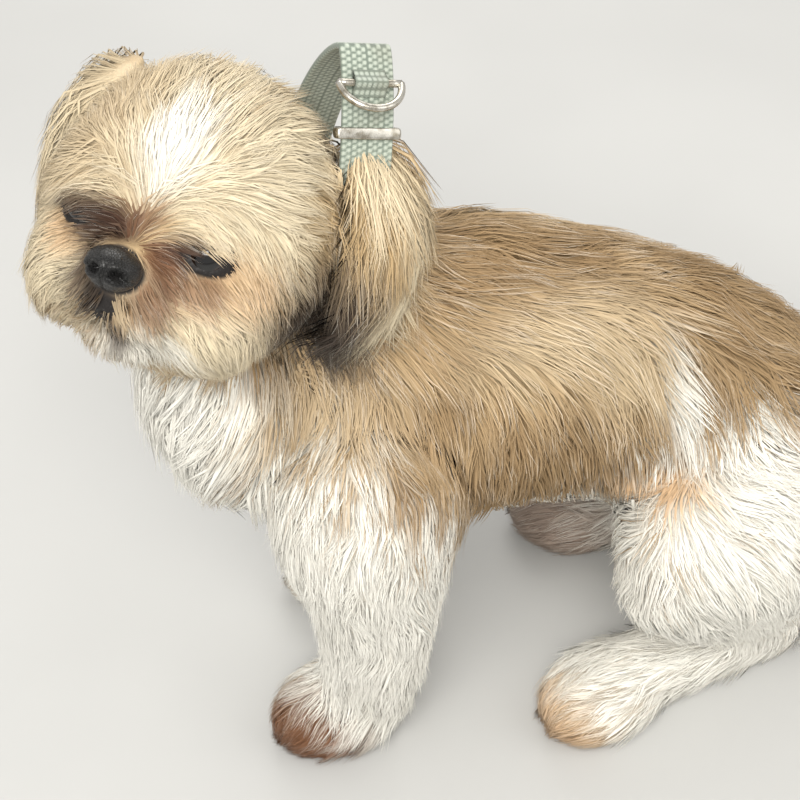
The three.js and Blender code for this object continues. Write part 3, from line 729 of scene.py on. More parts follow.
def lid_hoop(side, share):
    """One turn of the lids on the eyeball, from their edge at share 0 to their root at 1."""
    across, high, facing = lid_axes(side)
    turn = np.linspace(0, 2 * math.pi, 37)
    wide = blend(LID_OPEN[0], LID_ROUND, share) * np.cos(turn)
    tall = blend(LID_OPEN[1], LID_ROUND, share) * np.sin(turn) - LID_DROP * (1 - share)
    deep = np.sqrt(np.maximum(LID_BALL ** 2 - wide ** 2 - tall ** 2, 0))
    line = across * wide[:, None] + high * tall[:, None] + facing * deep[:, None]
    return rod(eye_centre(side) + line, LID_THICK, 8)


def ball_shape(centre, radii):
    return Ball(centre, radii, HEAD_FRAME, FACE_HAIR, lie_head).mesh(0)


def face_shapes():
    """What the bare face adds to the forms: lids, the mound round each eye, lips and the nose's bed."""
    shapes = [ball_shape(*NOSE_BED), rod(lower_lip(), LIP_THICK)]
    for side in (1, -1):
        shapes += [lid_hoop(side, share) for share in LID_TURNS]
        shapes.append(ball_shape(eye_centre(side) - eye_facing(side) * MOUND_BACK, MOUND))
        shapes.append(rod(lip_line(side), LIP_THICK))
    return shapes


def eased(points, faces, rounds, amount):
    """Points drawn toward their neighbours' middle, each by its own amount."""
    edges = np.concatenate([faces[:, [0, 1]], faces[:, [1, 2]], faces[:, [2, 0]]])
    count = np.bincount(edges[:, 0], minlength=len(points))[:, None]
    for _ in range(rounds):
        total = np.stack([np.bincount(edges[:, 0], points[edges[:, 1], k], len(points)) for k in range(3)], 1)
        points = points + amount * (total / np.maximum(count, 1) - points)
    return points


FACE_SPOTS = (eye_centre(1), eye_centre(-1), on_head(58, 0, -22))
FACE_NEAR = (16, 30)


def face_nearness(points):
    """1 at the eyes, nose and lips, 0 away from the face."""
    near = np.min([np.linalg.norm(points - centre, axis=1) for centre in FACE_SPOTS], 0)
    return 1 - step01(near, *FACE_NEAR)


EASE_ROUNDS = 15
EASE_BODY, EASE_FACE = 0.6, 0.09
FLOOR_GAP = 0.6


def make_skin():
    shapes = [form.mesh(form.hair[DEPTH] * SKIN_SHARE) for form in ALL_FORMS]
    rough = mesh_of("rough_skin", *gathered(shapes + face_shapes()))
    remesh = ("REMESH", {"mode": "VOXEL", "voxel_size": VOXEL * MM, "use_smooth_shade": True})
    skin = modified(rough, remesh, ("TRIANGULATE", {}))
    points = mesh_points(skin)
    faces = mesh_triangles(skin)
    points = eased(points, faces, EASE_ROUNDS, blend(EASE_BODY, EASE_FACE, face_nearness(points))[:, None])
    points[:, 2] = np.maximum(points[:, 2], FLOOR_GAP)
    return mesh_of("skin", points, faces)


# Where tufts grow

LID_MARGIN = 0.9
NOSE_MARGIN = 0.6
EYE_CALM = 25.0
NOSE_CALM = (11, 32)
AT_EYE = {DEPTH: 0.7, LONG: 0.55, WIDE: 0.8}
AT_NOSE = {DEPTH: 0.5, LONG: 0.75}
BROW_RISE = (3, 8)
BROW_FALL = {1: 1.35, -1: 2.2}
BARE_LIP = {1: 7, -1: 13}
LIP_EDGE = (LIP_THICK - 0.3, LIP_THICK + 0.8)
CROWN_UP = (28, 52)
CROWN_REACH = 90
ON_CROWN = {DEPTH: 1.5, LONG: 1.15}
TEMPLE_ASIDE = (34, 50)
TEMPLE_FROM, TEMPLE_DEEP = 24, 16
TEMPLE_UP = -30
AT_TEMPLE = {LONG: 1.35, WAVE: 1.8}
RUMP_BACK = (84, 128)
RUMP_UP = (130, 160)
ON_RUMP = {WAVE: 2.6, FLUFF: 0.35}


def trim_round_eye(points, hair, side):
    away = points - eye_centre(side)
    near = np.linalg.norm(away, axis=1)
    across, high, facing = lid_axes(side)
    calm = step01(near, EYE_RADIUS, EYE_CALM)
    brow = step01(away @ UP, *BROW_RISE) * (near < EYE_CALM)
    hair[:, LONG] *= blend(AT_EYE[LONG], 1, calm) * blend(1, BROW_FALL[side], brow)
    for column in (WIDE, DEPTH):
        hair[:, column] *= blend(AT_EYE[column], 1, calm)
    wide, tall = LID_OPEN[0] + LID_MARGIN, LID_OPEN[1] + LID_MARGIN
    opening = np.hypot(away @ across / wide, (away @ high + LID_DROP) / tall)
    hair[:, DENSE] *= (opening > 1) | (away @ facing < 0) | (near > 2 * EYE_RADIUS)
    lips = np.linalg.norm(points[:, None] - lip_line(side)[None, :BARE_LIP[side]], axis=2).min(1)
    hair[:, DENSE] *= step01(lips, *LIP_EDGE)


def trimmed(points, hair):
    """Hair shortens toward the eyes and nose, stops at lids, lips and nose pad, and is fuller elsewhere."""
    hair = hair.copy()
    for side in (1, -1):
        trim_round_eye(points, hair, side)
    spot = in_head(points)
    crown = step01(spot[:, 2], *CROWN_UP) * (np.linalg.norm(spot, axis=1) < CROWN_REACH)
    temple = step01(np.abs(spot[:, 1]), *TEMPLE_ASIDE) * step01(TEMPLE_FROM - spot[:, 0], 0, TEMPLE_DEEP) * (
        spot[:, 2] > TEMPLE_UP)
    hair[:, DEPTH] *= blend(1, ON_CROWN[DEPTH], crown)
    hair[:, LONG] *= blend(1, ON_CROWN[LONG], crown) * blend(1, AT_TEMPLE[LONG], temple)
    hair[:, WAVE] *= blend(1, AT_TEMPLE[WAVE], temple)
    rump = step01(points[:, 0], *RUMP_BACK) * step01(points[:, 2], *RUMP_UP)
    hair[:, WAVE] *= blend(1, ON_RUMP[WAVE], rump)
    hair[:, FLUFF] += ON_RUMP[FLUFF] * rump
    nose = spot - np.array([NOSE_FORWARD, 0, -NOSE_DROP])
    calm = step01(np.linalg.norm(nose, axis=1), *NOSE_CALM)
    for column, share in AT_NOSE.items():
        hair[:, column] *= blend(share, 1, calm)
    hair[:, DENSE] *= np.linalg.norm(nose / (NOSE_SIZE + NOSE_MARGIN), axis=1) > 1
    return hair


LIE_ROUNDS, LIE_EASE = 10, 0.6
SWIRL_WIDE, SWIRL_FINE = 0.2, 0.11
WIDE_WAVELENGTH, FINE_WAVELENGTH = 60, 20
FULL_SWIRL_LONG = 25
STRAIGHT_SWIRL, WAVY_SWIRL = 0.6, 0.4


class Pelt:
    """The skin's triangles with what grows on them."""

    def __init__(self, mesh):
        self.points = mesh_points(mesh)
        self.normals = read_out(mesh.vertex_normals, "vector", 3)
        self.faces = mesh_triangles(mesh)
        hair, lie, self.region = surroundings(self.points)
        self.hair = trimmed(self.points, hair)
        flat = lie - self.normals * np.einsum("ij,ij->i", lie, self.normals)[:, None]
        flat = unit(eased(unit(flat), self.faces, LIE_ROUNDS, LIE_EASE))
        wander = SWIRL_WIDE * drift(self.points, WIDE_WAVELENGTH, 3) + SWIRL_FINE * drift(
            self.points, FINE_WAVELENGTH, 4)
        wander = (wander * np.minimum(self.hair[:, LONG] / FULL_SWIRL_LONG, 1)
                  * (STRAIGHT_SWIRL + WAVY_SWIRL * self.hair[:, WAVE]))[:, None]
        self.lie = unit(flat * np.cos(wander) + np.cross(self.normals, flat) * np.sin(wander))
        self.tree = search_tree(self.points, self.faces)

    def roots(self, rng, budget):
        """Places spread over the skin by its hair, as many as a number of triangles allows."""
        corners = self.points[self.faces]
        sides = np.cross(corners[:, 1] - corners[:, 0], corners[:, 2] - corners[:, 0])
        area = np.linalg.norm(sides, axis=1) / 200  # half of it, in square centimetres
        wanted = self.hair[self.faces, DENSE].mean(1) * area
        short = self.hair[self.faces, LONG].mean(1) * MEAN_LENGTH < SHORT_BELOW
        cost = np.where(short, SHORT_COST, LONG_COST - (LONG_COST - SHORT_COST) * UNDER_SHARE)
        wanted *= budget / (wanted * cost).sum()
        reach = np.cumsum(wanted)
        picks = np.searchsorted(reach, np.arange(0.5, reach[-1], 1.0))
        return picks, rng.dirichlet((1, 1, 1), len(picks))

    def read(self, picks, share, values):
        return np.einsum("pk,pkj->pj", share, values[self.faces[picks]])

    def under(self, points):
        """Nearest place on the skin, its outward direction and its lie."""
        spots, found = nearest(self.tree, points)
        return spots, *(unit(values[self.faces[found]].mean(1)) for values in (self.normals, self.lie))


# Collar

LEAN_UP = np.array([math.sin(COLLAR_LEAN), 0, math.cos(COLLAR_LEAN)])
LEAN_AXIS = np.array([-math.cos(COLLAR_LEAN), 0, math.sin(COLLAR_LEAN)])
LEAN_ACROSS = np.array([0.0, -1.0, 0.0])
LOOP_PLANE = np.array([LEAN_ACROSS, LEAN_UP])
PRESSED, PRESSED_TO = 0.955, 1.4
OVERLAID, OVERLAID_FROM = 1.2, 0.93
BAND_MARGIN = 2
NECK_HIDES = 2.0
EAR_HIDES = 52.0


def loop_place(angle):
    """Across and up on the collar's inner line, an oval below that narrows to a peak above."""
    side = np.sin(angle)
    across = np.where(np.cos(angle) > 0, np.abs(side) ** COLLAR_PEAK * np.sign(side), side)
    return np.stack([COLLAR_WIDE * across, COLLAR_HIGH * np.cos(angle)], -1)


ANGLE_STEP = 0.02


def loop_normal(angle):
    step = unit(loop_place(angle + ANGLE_STEP) - loop_place(angle - ANGLE_STEP))
    return np.stack([-step[..., 1], step[..., 0]], -1)


def beside_collar(points, hides):
    """Hair lies over the webbing up to a height above the loop's middle, and inside it above that."""
    away = points - COLLAR_CENTRE
    axial = away @ LEAN_AXIS
    across = away @ LEAN_ACROSS
    high = away @ LEAN_UP
    up = np.clip(high / COLLAR_HIGH, -1.5, 0.97)
    half = COLLAR_WIDE * (1 - np.maximum(up, 0) ** 2) ** (COLLAR_PEAK / 2)
    ratio = np.hypot(across / half, np.minimum(up, 0))
    in_band = (np.abs(axial) < WEBBING_WIDTH / 2 + BAND_MARGIN) & (high < COLLAR_HIGH)
    press = in_band & (high > hides) & (ratio > PRESSED) & (ratio < PRESSED_TO)
    lay = in_band & (high <= hides) & (ratio > OVERLAID_FROM) & (ratio < OVERLAID)
    scale = np.ones(len(points))
    scale[press] = PRESSED / ratio[press]
    scale[lay] = OVERLAID / ratio[lay]
    flat = LEAN_ACROSS * across[:, None] + LEAN_UP * np.minimum(high, 0)[:, None]
    return points + flat * (scale - 1)[:, None]


# Tufts

LONG_CUT = ((0, 0.34, 0.68, 1), (0.7, 1, 0.74))
SHORT_CUT = ((0, 0.5, 1), (0.9, 0.85))
LONG_COST, SHORT_COST = 16, 10
SHORT_BELOW = 20.5
RISE = {0: -0.12, 0.34: 0.66, 0.5: 0.78, 0.68: 0.86}
TIP_FLAT, TIP_FLUFFED = 0.62, 1.3
FIRST_TILT = 0.35
LEAST_HEIGHT = 0.5
HEADING_KEPT, HEADING_NEW = 0.35, 0.65
HANG_FREES, HANG_PULL = 0.5, 0.8
HANG_LEAST = 0.6
COAT_TRIANGLES = 1_430_000
MEAN_LENGTH = 0.95
LENGTHS = (0.72, 1.18)
WIDE_LEAST, WIDE_SPREAD = 0.6, 1.0
CLUMP_SHARE = 0.05
CLUMP_HOLD = 0.55
CLUMP_SPREAD = 0.3
CLUMP_REACH = 0.6
CLUMP_CURVE = 1.4
CLUMP_LONG = 22
UNDER_SHARE = 0.36
UNDER_DEPTH = (0.4, 0.62)
TOP_DEPTH = 1.1
TOP_SHALLOW, TOP_SHALLOW_FLUFFED = 0.74, 0.5
UNDER_WIDE, TOP_WIDE = 2.3, 0.66
PALE_SHARE = 0.2
PALE_TONE = (0.8, 1)
PALE_EVERYWHERE = 0.6
TONE_MIDDLE, TONE_CLUMP, TONE_OWN, TONE_TOP = 0.42, 0.12, 0.05, 0.7
TURN_OWN, TURN_CLUMP = 0.055, 0.085
ROLL = 0.3
LIFT_SPREAD = 0.22
SWAY, SWAY_TURN = 0.9, 5.5
SWAY_LONG, SWAY_MOST = 30, 1.3
FLICK, FLICK_FLAT = 0.02, 0.35
TUFT_GAP = 0.8


class Tufts:
    """Roots of the coat with all that shapes each tuft."""

    def __init__(self, pelt, picks, share, rng):
        count = len(picks)
        self.pelt = pelt
        self.root = pelt.read(picks, share, pelt.points)
        self.normal = unit(pelt.read(picks, share, pelt.normals))
        self.lie = unit(pelt.read(picks, share, pelt.lie))
        depth, long, wide, _, self.free, self.wave, self.fluff = pelt.read(picks, share, pelt.hair).T
        self.under = rng.random(count) < UNDER_SHARE
        shallow = blend(TOP_SHALLOW, TOP_SHALLOW_FLUFFED, np.clip(self.fluff, 0, 1))
        deep = rng.uniform(*UNDER_DEPTH, count)
        reach = np.where(self.under, deep, blend(shallow, TOP_DEPTH, rng.random(count)))
        self.depth = depth * SKIN_SHARE * reach
        self.long = long * rng.uniform(*LENGTHS, count)
        spread = WIDE_LEAST + WIDE_SPREAD * rng.random(count) ** 2
        self.wide = wide * spread * np.where(self.under, UNDER_WIDE, TOP_WIDE)
        self.region = pelt.region[pelt.faces[picks, 0]]
        self.turn = rng.normal(0, TURN_OWN, count) * (1 + self.fluff)
        self.roll = rng.normal(0, ROLL, count)
        self.flick = rng.normal(0, 1, (count, 3)) * (FLICK_FLAT + self.fluff)[:, None]
        over_webbing = [REGIONS.index(name) for name in ("head", "left_ear", "right_ear")]
        self.hides = np.where(np.isin(self.region, over_webbing), EAR_HIDES, NECK_HIDES)
        self.clump(rng)
        self.short = (self.long < SHORT_BELOW) | self.under
        self.cost = np.where(self.short, SHORT_COST, LONG_COST)

    def clump(self, rng):
        """Each tuft takes tone, turn, lift and wave from the leader nearest to it."""
        count = len(self.root)
        leaders = np.sort(rng.choice(count, max(int(count * CLUMP_SHARE), 1), replace=False))
        tree = KDTree(len(leaders))
        for i, leader in enumerate(leaders):
            tree.insert(self.root[leader], i)
        tree.balance()
        self.leader = np.array([leaders[tree.find(point)[1]] for point in self.root])
        tone = rng.normal(0, 1, count)
        turn = rng.normal(0, TURN_CLUMP, count) * (1 + self.fluff)
        self.phase = rng.uniform(0, 2 * math.pi, count)[self.leader]
        self.tone = np.clip(TONE_MIDDLE + TONE_CLUMP * tone[self.leader] + TONE_OWN * tone, 0, TONE_TOP)
        pale = (rng.random(count) < PALE_SHARE * (PALE_EVERYWHERE + tone[self.leader] ** 2)) & ~self.under
        self.tone = np.where(pale, rng.uniform(*PALE_TONE, count), self.tone)
        self.turn += turn[self.leader]
        self.lift = np.exp(rng.normal(0, LIFT_SPREAD, count))[self.leader]

    def grow(self, stations):
        """The middle line of every tuft, with the skin's outward direction at each station."""
        cos, sin = np.cos(self.turn)[:, None], np.sin(self.turn)[:, None]
        lie = self.lie * cos + np.cross(self.normal, self.lie) * sin
        normal = self.normal
        point = self.root + normal * self.depth[:, None] * RISE[0]
        path, normals = [point], [normal]
        heading = unit(lie + normal * FIRST_TILT)
        for before, after in zip(stations, stations[1:]):
            point = point + heading * ((after - before) * self.long)[:, None]
            spot, normal, here = self.pelt.under(point)
            above = np.einsum("ij,ij->i", point - spot, normal)
            rise = RISE[after] if after < 1 else blend(TIP_FLAT, TIP_FLUFFED, self.fluff) * self.lift
            wanted = self.depth * rise
            hanging = self.free * after
            height = np.maximum(blend(wanted, np.maximum(above, wanted * HANG_LEAST), hanging), LEAST_HEIGHT)
            held = spot + normal * height[:, None]
            loose = point + normal * np.maximum(height - above, 0)[:, None]
            hanging = hanging[:, None]
            point = blend(held, loose, hanging)
            path.append(point)
            normals.append(normal)
            here = here * cos + np.cross(normal, here) * sin
            heading = unit(heading * HEADING_KEPT + here * HEADING_NEW * (1 - HANG_FREES * hanging)
                           + DOWN * hanging * HANG_PULL)
        return np.array(path), np.array(normals)

    def shaped(self, stations):
        """The grown lines drawn toward their leaders', waved, flicked, and kept off webbing and floor."""
        path, normals = self.grow(stations)
        leader_path = path[:, self.leader]
        beside = self.root - self.root[self.leader]
        for i, s in enumerate(stations[1:], 1):
            hold = CLUMP_HOLD * s ** CLUMP_CURVE * np.minimum(self.long / CLUMP_LONG, 1)
            hold = hold * (np.linalg.norm(beside, axis=1) < self.long * CLUMP_REACH)
            goal = leader_path[i] + beside * CLUMP_SPREAD
            path[i] += (goal - path[i]) * hold[:, None]
            side = np.cross(normals[i], unit(path[i] - path[i - 1]))
            sway = np.sin(self.phase + s * SWAY_TURN) * self.wave * s * SWAY
            path[i] += side * (sway * np.minimum(self.long / SWAY_LONG, SWAY_MOST))[:, None]
            path[i] += self.flick * (FLICK * s * self.long)[:, None]
        for line in path:
            line[:] = beside_collar(line, self.hides)
            line[:, 2] = np.maximum(line[:, 2], TUFT_GAP + self.wide * 0.3)
        return path, normals


def tuft_triangles(rings):
    faces = [[0, 2, 1]]
    for i in range(rings - 1):
        for k in range(3):
            a, b = i * 3 + k, i * 3 + (k + 1) % 3
            faces += [[a, b, a + 3], [b, b + 3, a + 3]]
    last = (rings - 1) * 3
    faces += [[last + k, last + (k + 1) % 3, last + 3] for k in range(3)]
    return np.array(faces)


FLATNESS, FLAT_BELOW, FLAT_ABOVE = 0.34, 0.6, 1.4
ROUND_FLAT, ROUND_FLUFFED = 0.3, 0.8
TIP_SHINE = 0.3
UV_PATCH = 0.003
MARKED_AT = 0.45


class Strands:
    """Tufts turned into three-sided tapering locks, as arrays ready for a mesh."""

    def __init__(self, tufts, chosen, stations, widths, unwrap):
        path, normals = (lines[:, chosen] for lines in tufts.lines[stations])
        rings = len(widths)
        heading = unit(np.diff(path, axis=0))
        bend = blend(ROUND_FLAT, ROUND_FLUFFED, np.clip(tufts.fluff[chosen], 0, 1))[:, None]
        roll = tufts.roll[chosen][:, None]
        points, shine = [], []
        for i in range(rings):
            side = unit(np.cross(normals[i], heading[i]))
            up = np.cross(heading[i], side)
            side, up = side * np.cos(roll) + up * np.sin(roll), up * np.cos(roll) - side * np.sin(roll)
            half = (tufts.wide[chosen] * widths[i] * 0.5)[:, None]
            points += [
                path[i] + side * half - up * half * FLATNESS * FLAT_BELOW,
                path[i] + up * half * FLATNESS * FLAT_ABOVE,
                path[i] - side * half - up * half * FLATNESS * FLAT_BELOW,
            ]
            shine += [normals[i] + side * bend, normals[i] + up * bend, normals[i] - side * bend]
        points.append(path[rings])
        shine.append(normals[rings] + heading[-1] * TIP_SHINE)
        size = len(points)
        count = len(chosen)
        self.points = np.stack(points, 1).reshape(-1, 3)
        self.shine = unit(np.stack(shine, 1).reshape(-1, 3))
        self.faces = (tuft_triangles(rings)[None] + np.arange(count)[:, None, None] * size).reshape(-1, 3)
        along = np.append(np.repeat(stations[:-1], 3), 1.0)
        across = np.append(np.tile([0.0, 0.5, 1.0], rings), 0.5)
        self.along = np.tile(along, count)
        self.tone = np.repeat(tufts.tone[chosen], size)
        self.place = np.repeat(blend(tufts.root[chosen], path[1], MARKED_AT / stations[1]), size, 0)
        patch = np.stack([across - 0.5, along - 0.5], 1) * UV_PATCH
        self.uv = (unwrap[chosen][:, None] + patch[None]).reshape(-1, 2)


def coat_piece(name, parts, finish):
    """Several sets of strands as one mesh with its attributes and map."""
    start = np.cumsum([0] + [len(part.points) for part in parts])
    points, shine, uv, *values = (np.concatenate([getattr(part, key) for part in parts]) for key in (
        "points", "shine", "uv", "place", "along", "tone"))
    faces = np.concatenate([part.faces + before for part, before in zip(parts, start)])
    mesh = mesh_of(name, points, faces)
    mesh.normals_split_custom_set_from_vertices(shine)
    for key, numbers in zip(("place", "along", "tone"), values):
        store(mesh, key, numbers)
    layer = mesh.uv_layers.new(name="OFBake")
    layer.uv.foreach_set("vector", uv[faces.ravel()].astype(np.float32).ravel())
    piece = placed(name, mesh, finish)
    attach(piece, "root")


UNWRAP_DETAIL = 0.035
UNWRAP_ANGLE = math.radians(66)
ISLAND_GAP = 0.006


def unwrapped(mesh, targets):
    """A place on an unwrap of the skin's own shape for each target point."""
    plain = modified(mesh, ("DECIMATE", {"ratio": UNWRAP_DETAIL}), ("TRIANGULATE", {}))
    holder = placed("unwrap", plain)
    bpy.ops.object.select_all(action="DESELECT")
    bpy.context.view_layer.objects.active = holder
    holder.select_set(True)
    bpy.ops.object.mode_set(mode="EDIT")
    bpy.ops.mesh.select_all(action="SELECT")
    bpy.ops.uv.smart_project(angle_limit=UNWRAP_ANGLE, island_margin=ISLAND_GAP)
    bpy.ops.object.mode_set(mode="OBJECT")
    uv = read_out(plain.uv_layers.active.uv, "vector", 2).reshape(-1, 3, 2)
    points = mesh_points(plain)
    faces = np.array([list(p.vertices) for p in plain.polygons])
    spots, found = nearest(search_tree(points, faces), targets)
    bpy.data.objects.remove(holder)
    a, b, c = (points[faces[found, k]] for k in range(3))
    u, v, w = b - a, c - a, spots - a
    uu, uv_, vv = (u * u).sum(1), (u * v).sum(1), (v * v).sum(1)
    wu, wv = (w * u).sum(1), (w * v).sum(1)
    scale = np.maximum(uu * vv - uv_ * uv_, 1e-9)
    s = np.clip((vv * wu - uv_ * wv) / scale, 0, 1)[:, None]
    t = np.clip((uu * wv - uv_ * wu) / scale, 0, 1)[:, None]
    return uv[found, 0] * (1 - s - t) + uv[found, 1] * s + uv[found, 2] * t


# Finishes: a small writer of shader nodes

class Signal:
    """A socket of a finish, with sums written as Python writes them."""

    def __init__(self, finish, socket):
        self.finish = finish
        self.socket = socket

    def math(self, operation, *inputs):
        return self.finish.node("ShaderNodeMath", {"operation": operation}, dict(enumerate(inputs)))

    def __add__(self, other):
        return self.math("ADD", self, other)

    def __sub__(self, other):
        return self.math("SUBTRACT", self, other)

    def __mul__(self, other):
        return self.math("MULTIPLY", self, other)

    def __pow__(self, other):
        return self.math("POWER", self, other)

    def most(self, other):
        return self.math("MAXIMUM", self, other)

    def sine(self):
        return self.math("SINE", self)

    def ramp(self, low, high, start=0.0, end=1.0):
        """Runs smoothly from start at low to end at high."""
        settings = {"interpolation_type": "SMOOTHSTEP"}
        inputs = {0: self, 1: low, 2: high, 3: start, 4: end}
        return self.finish.node("ShaderNodeMapRange", settings, inputs)


class Finish:
    """A material while its nodes are written."""

    def __init__(self, name):
        self.material = bpy.data.materials.new(name)
        self.material.use_nodes = True
        self.nodes = self.material.node_tree.nodes
        self.links = self.material.node_tree.links
        self.nodes.clear()

    def node(self, node_type, settings=None, inputs=None, output=0):
        node = self.nodes.new(node_type)
        for key, value in (settings or {}).items():
            setattr(node, key, value)
        for key, value in (inputs or {}).items():
            if isinstance(value, Signal):
                self.links.new(value.socket, node.inputs[key])
            else:
                node.inputs[key].default_value = value
        return Signal(self, node.outputs[output])

    def attribute(self, name, output="Fac"):
        return self.node("ShaderNodeAttribute", {"attribute_name": name}, output=output)

    def vector(self, operation, a, b=(0, 0, 0), output=0):
        return self.node("ShaderNodeVectorMath", {"operation": operation}, {0: a, 1: b}, output)

    def joined(self, x, y, z):
        return self.node("ShaderNodeCombineXYZ", inputs={0: x, 1: y, 2: z})

    def mix(self, share, a, b):
        return self.node("ShaderNodeMix", {"data_type": "RGBA"}, {0: share, 6: a, 7: b}, 2)

    def noise(self, place, scale, detail):
        return self.node("ShaderNodeTexNoise", inputs={"Vector": place, "Scale": scale, "Detail": detail})

    def bump(self, height, distance, strength=1.0):
        inputs = {"Height": height, "Distance": distance, "Strength": strength}
        return self.node("ShaderNodeBump", inputs=inputs)

    def surface(self, **inputs):
        """Ends the finish with one shader. A socket's name has its spaces as underscores."""
        named = {key.replace("_", " "): value for key, value in inputs.items()}
        shader = self.node("ShaderNodeBsdfPrincipled", inputs=named)
        output = self.nodes.new("ShaderNodeOutputMaterial")
        self.links.new(shader.socket, output.inputs["Surface"])
        return self.material


def paint(red, green, blue):
    """A colour as a screen shows it, for a shader."""
    levels = []
    for level in (red, green, blue):
        level = level / 255
        levels.append(level / 12.92 if level <= 0.04045 else ((level + 0.055) / 1.055) ** 2.4)
    return (*levels, 1.0)


# Markings, the same on skin and coat, and a few marks of painted light and shade, each said where it stands.
# Each is an oval in the dog's frame or the head's, with a soft ragged edge, laid over those before it:
# centre, half sizes, colour, softness, strength.

TAN = paint(190, 162, 123)
TAN_DEEP = paint(152, 124, 88)
TAN_PALE = paint(220, 199, 164)
CREAM = paint(232, 217, 186)
GOLD = paint(204, 175, 130)
WHITE = paint(253, 250, 240)
PEACH = paint(226, 190, 148)
RUST = paint(128, 90, 65)
UMBER = paint(62, 39, 30)
SMOKE = paint(104, 90, 74)
SOOT = paint(58, 48, 42)
PITCH = paint(24, 19, 17)


def both(centre, *rest):
    """The same mark on both sides."""
    x, y, z = centre
    return [((x, side * y, z), *rest) for side in (-1, 1)]


BODY_MARKS = [
    ((24, 0, 150), (110, 85, 56), TAN_DEEP, 0.4, 0.75),
    ((150, 0, 190), (60, 75, 45), TAN_DEEP, 0.5, 0.35),
    ((-6, 0, 262), (90, 34, 22), TAN_DEEP, 0.6, 0.35),
    # painted highlight: a paler band along the top of the back on both sides, where the light falls from
    # above
    *both((36, 42, 234), (44, 26, 16), TAN_PALE, 0.7, 0.7),
    ((52, -44, 120), (13, 30, 22), WHITE, 0.4, 1.0),
    ((-118, -4, 218), (38, 54, 62), WHITE, 0.2, 1.0),
    ((-48, -46, 70), (50, 60, 96), WHITE, 0.14, 1.0),
    ((-30, 52, 70), (50, 60, 96), WHITE, 0.14, 1.0),
    # painted light: paler at the base of the neck on both sides, lifting the shade the head casts there
    *both((-66, 44, 216), (28, 26, 26), TAN_PALE, 0.8, 0.6),
    *both((-64, 30, 130), (58, 90, 76), WHITE, 0.14, 1.0),
    ((28, 0, 124), (44, 60, 24), WHITE, 0.2, 0.95),
    ((72, -46, 208), (22, 30, 20), TAN_PALE, 0.9, 0.7),
    ((93, -48, 186), (8, 30, 32), WHITE, 0.6, 0.9),
    *both((116, 66, 92), (72, 52, 84), WHITE, 0.12, 1.0),
    ((100, 0, 20), (110, 110, 44), WHITE, 0.2, 1.0),
    ((82, -52, 150), (24, 24, 8), PEACH, 0.4, 0.95),
    ((150, -84, 118), (16, 18, 14), TAN_DEEP, 0.5, 0.7),
    # dark brown on the far thigh under the belly: partly stained fur, partly painted shade
    ((92, 50, 110), (30, 34, 30), RUST, 0.4, 0.8),
    ((-84, -46, 8), (34, 28, 26), RUST, 0.4, 1.0),
    ((34, -72, 8), (27, 30, 22), PEACH, 0.4, 0.9),
    ((28, -76, 6), (20, 24, 14), RUST, 0.6, 0.4),
    # dark brown on the far hind foot: partly stained fur, partly painted shade under the belly
    ((72, 52, 14), (40, 36, 24), RUST, 0.4, 0.75),
    ((272, -14, 34), (30, 34, 40), CREAM, 0.4, 0.9),
]
HEAD_MARKS = [
    ((8, 0, 8), (66, 64, 68), CREAM, 0.2, 0.9),
    ((22, -42, 30), (36, 28, 36), TAN_PALE, 0.5, 0.75),
    ((26, 38, 34), (34, 32, 32), CREAM, 0.5, 0.7),
    ((44, 40, -12), (22, 20, 16), PEACH, 0.5, 0.75),
    ((44, 42, -36), (30, 30, 18), CREAM, 0.5, 0.9),
    ((46, -34, -26), (28, 22, 14), CREAM, 0.5, 0.8),
    ((48, -30, -10), (12, 10, 9), PEACH, 0.5, 0.8),
    ((58, 0, 0), (12, 22, 12), GOLD, 0.5, 0.8),
    ((46, 1, 37), (24, 11, 17), WHITE, 0.7, 1.0),
    ((54, -18, -1), (15, 18, 9), UMBER, 0.6, 0.95),
    ((57, -5, 3), (10, 10, 7), UMBER, 0.6, 0.75),
    ((56, 1, 8), (9, 8, 7), RUST, 0.7, 0.6),
    ((56, 14, -5), (9, 8, 8), RUST, 0.5, 0.95),
    ((53, 19, 0), (9, 8, 7), UMBER, 0.5, 0.95),
    ((52, 28, -13), (10, 14, 7), RUST, 0.6, 0.7),
    ((59, 15, -20), (10, 9, 12), RUST, 0.6, 0.8),
    ((60, -14, -18), (10, 8, 11), UMBER, 0.6, 0.85),
    ((50, 12, -42), (16, 20, 10), WHITE, 0.4, 0.8),
    ((56, 5, -37), (9, 4, 8), UMBER, 0.6, 0.7),
    ((65, -3, -23), (9, 8, 7), SOOT, 0.5, 0.95),
    ((61, -5, -30), (9, 8, 5), SOOT, 0.6, 0.9),
    ((-20, 66, 18), (40, 26, 34), GOLD, 0.3, 0.9),
    ((-20, -64, 18), (40, 26, 34), CREAM, 0.3, 0.6),
    ((-8, 64, -17), (34, 28, 25), SMOKE, 0.5, 0.95),
    ((-14, 66, -28), (30, 24, 16), SOOT, 0.5, 0.9),
    ((-18, -60, -32), (30, 22, 24), SMOKE, 0.45, 0.7),
    ((-33, 82, -1), (16, 18, 27), CREAM, 0.5, 1.0),
    ((-12, 66, 37), (20, 16, 12), CREAM, 0.6, 0.8),
    ((22, -34, 34), (26, 18, 24), TAN, 0.8, 0.3),
]
EDGE_RAGGED = 0.5
EDGE_TUFTED = 0.5


def oval(finish, place, centre, radii, softness, ragged):
    away = finish.vector("SUBTRACT", place, centre)
    ratio = finish.vector("LENGTH", finish.vector("DIVIDE", away, radii), output="Value")
    return (ratio + ragged).ramp(1 + softness, 1 - softness)


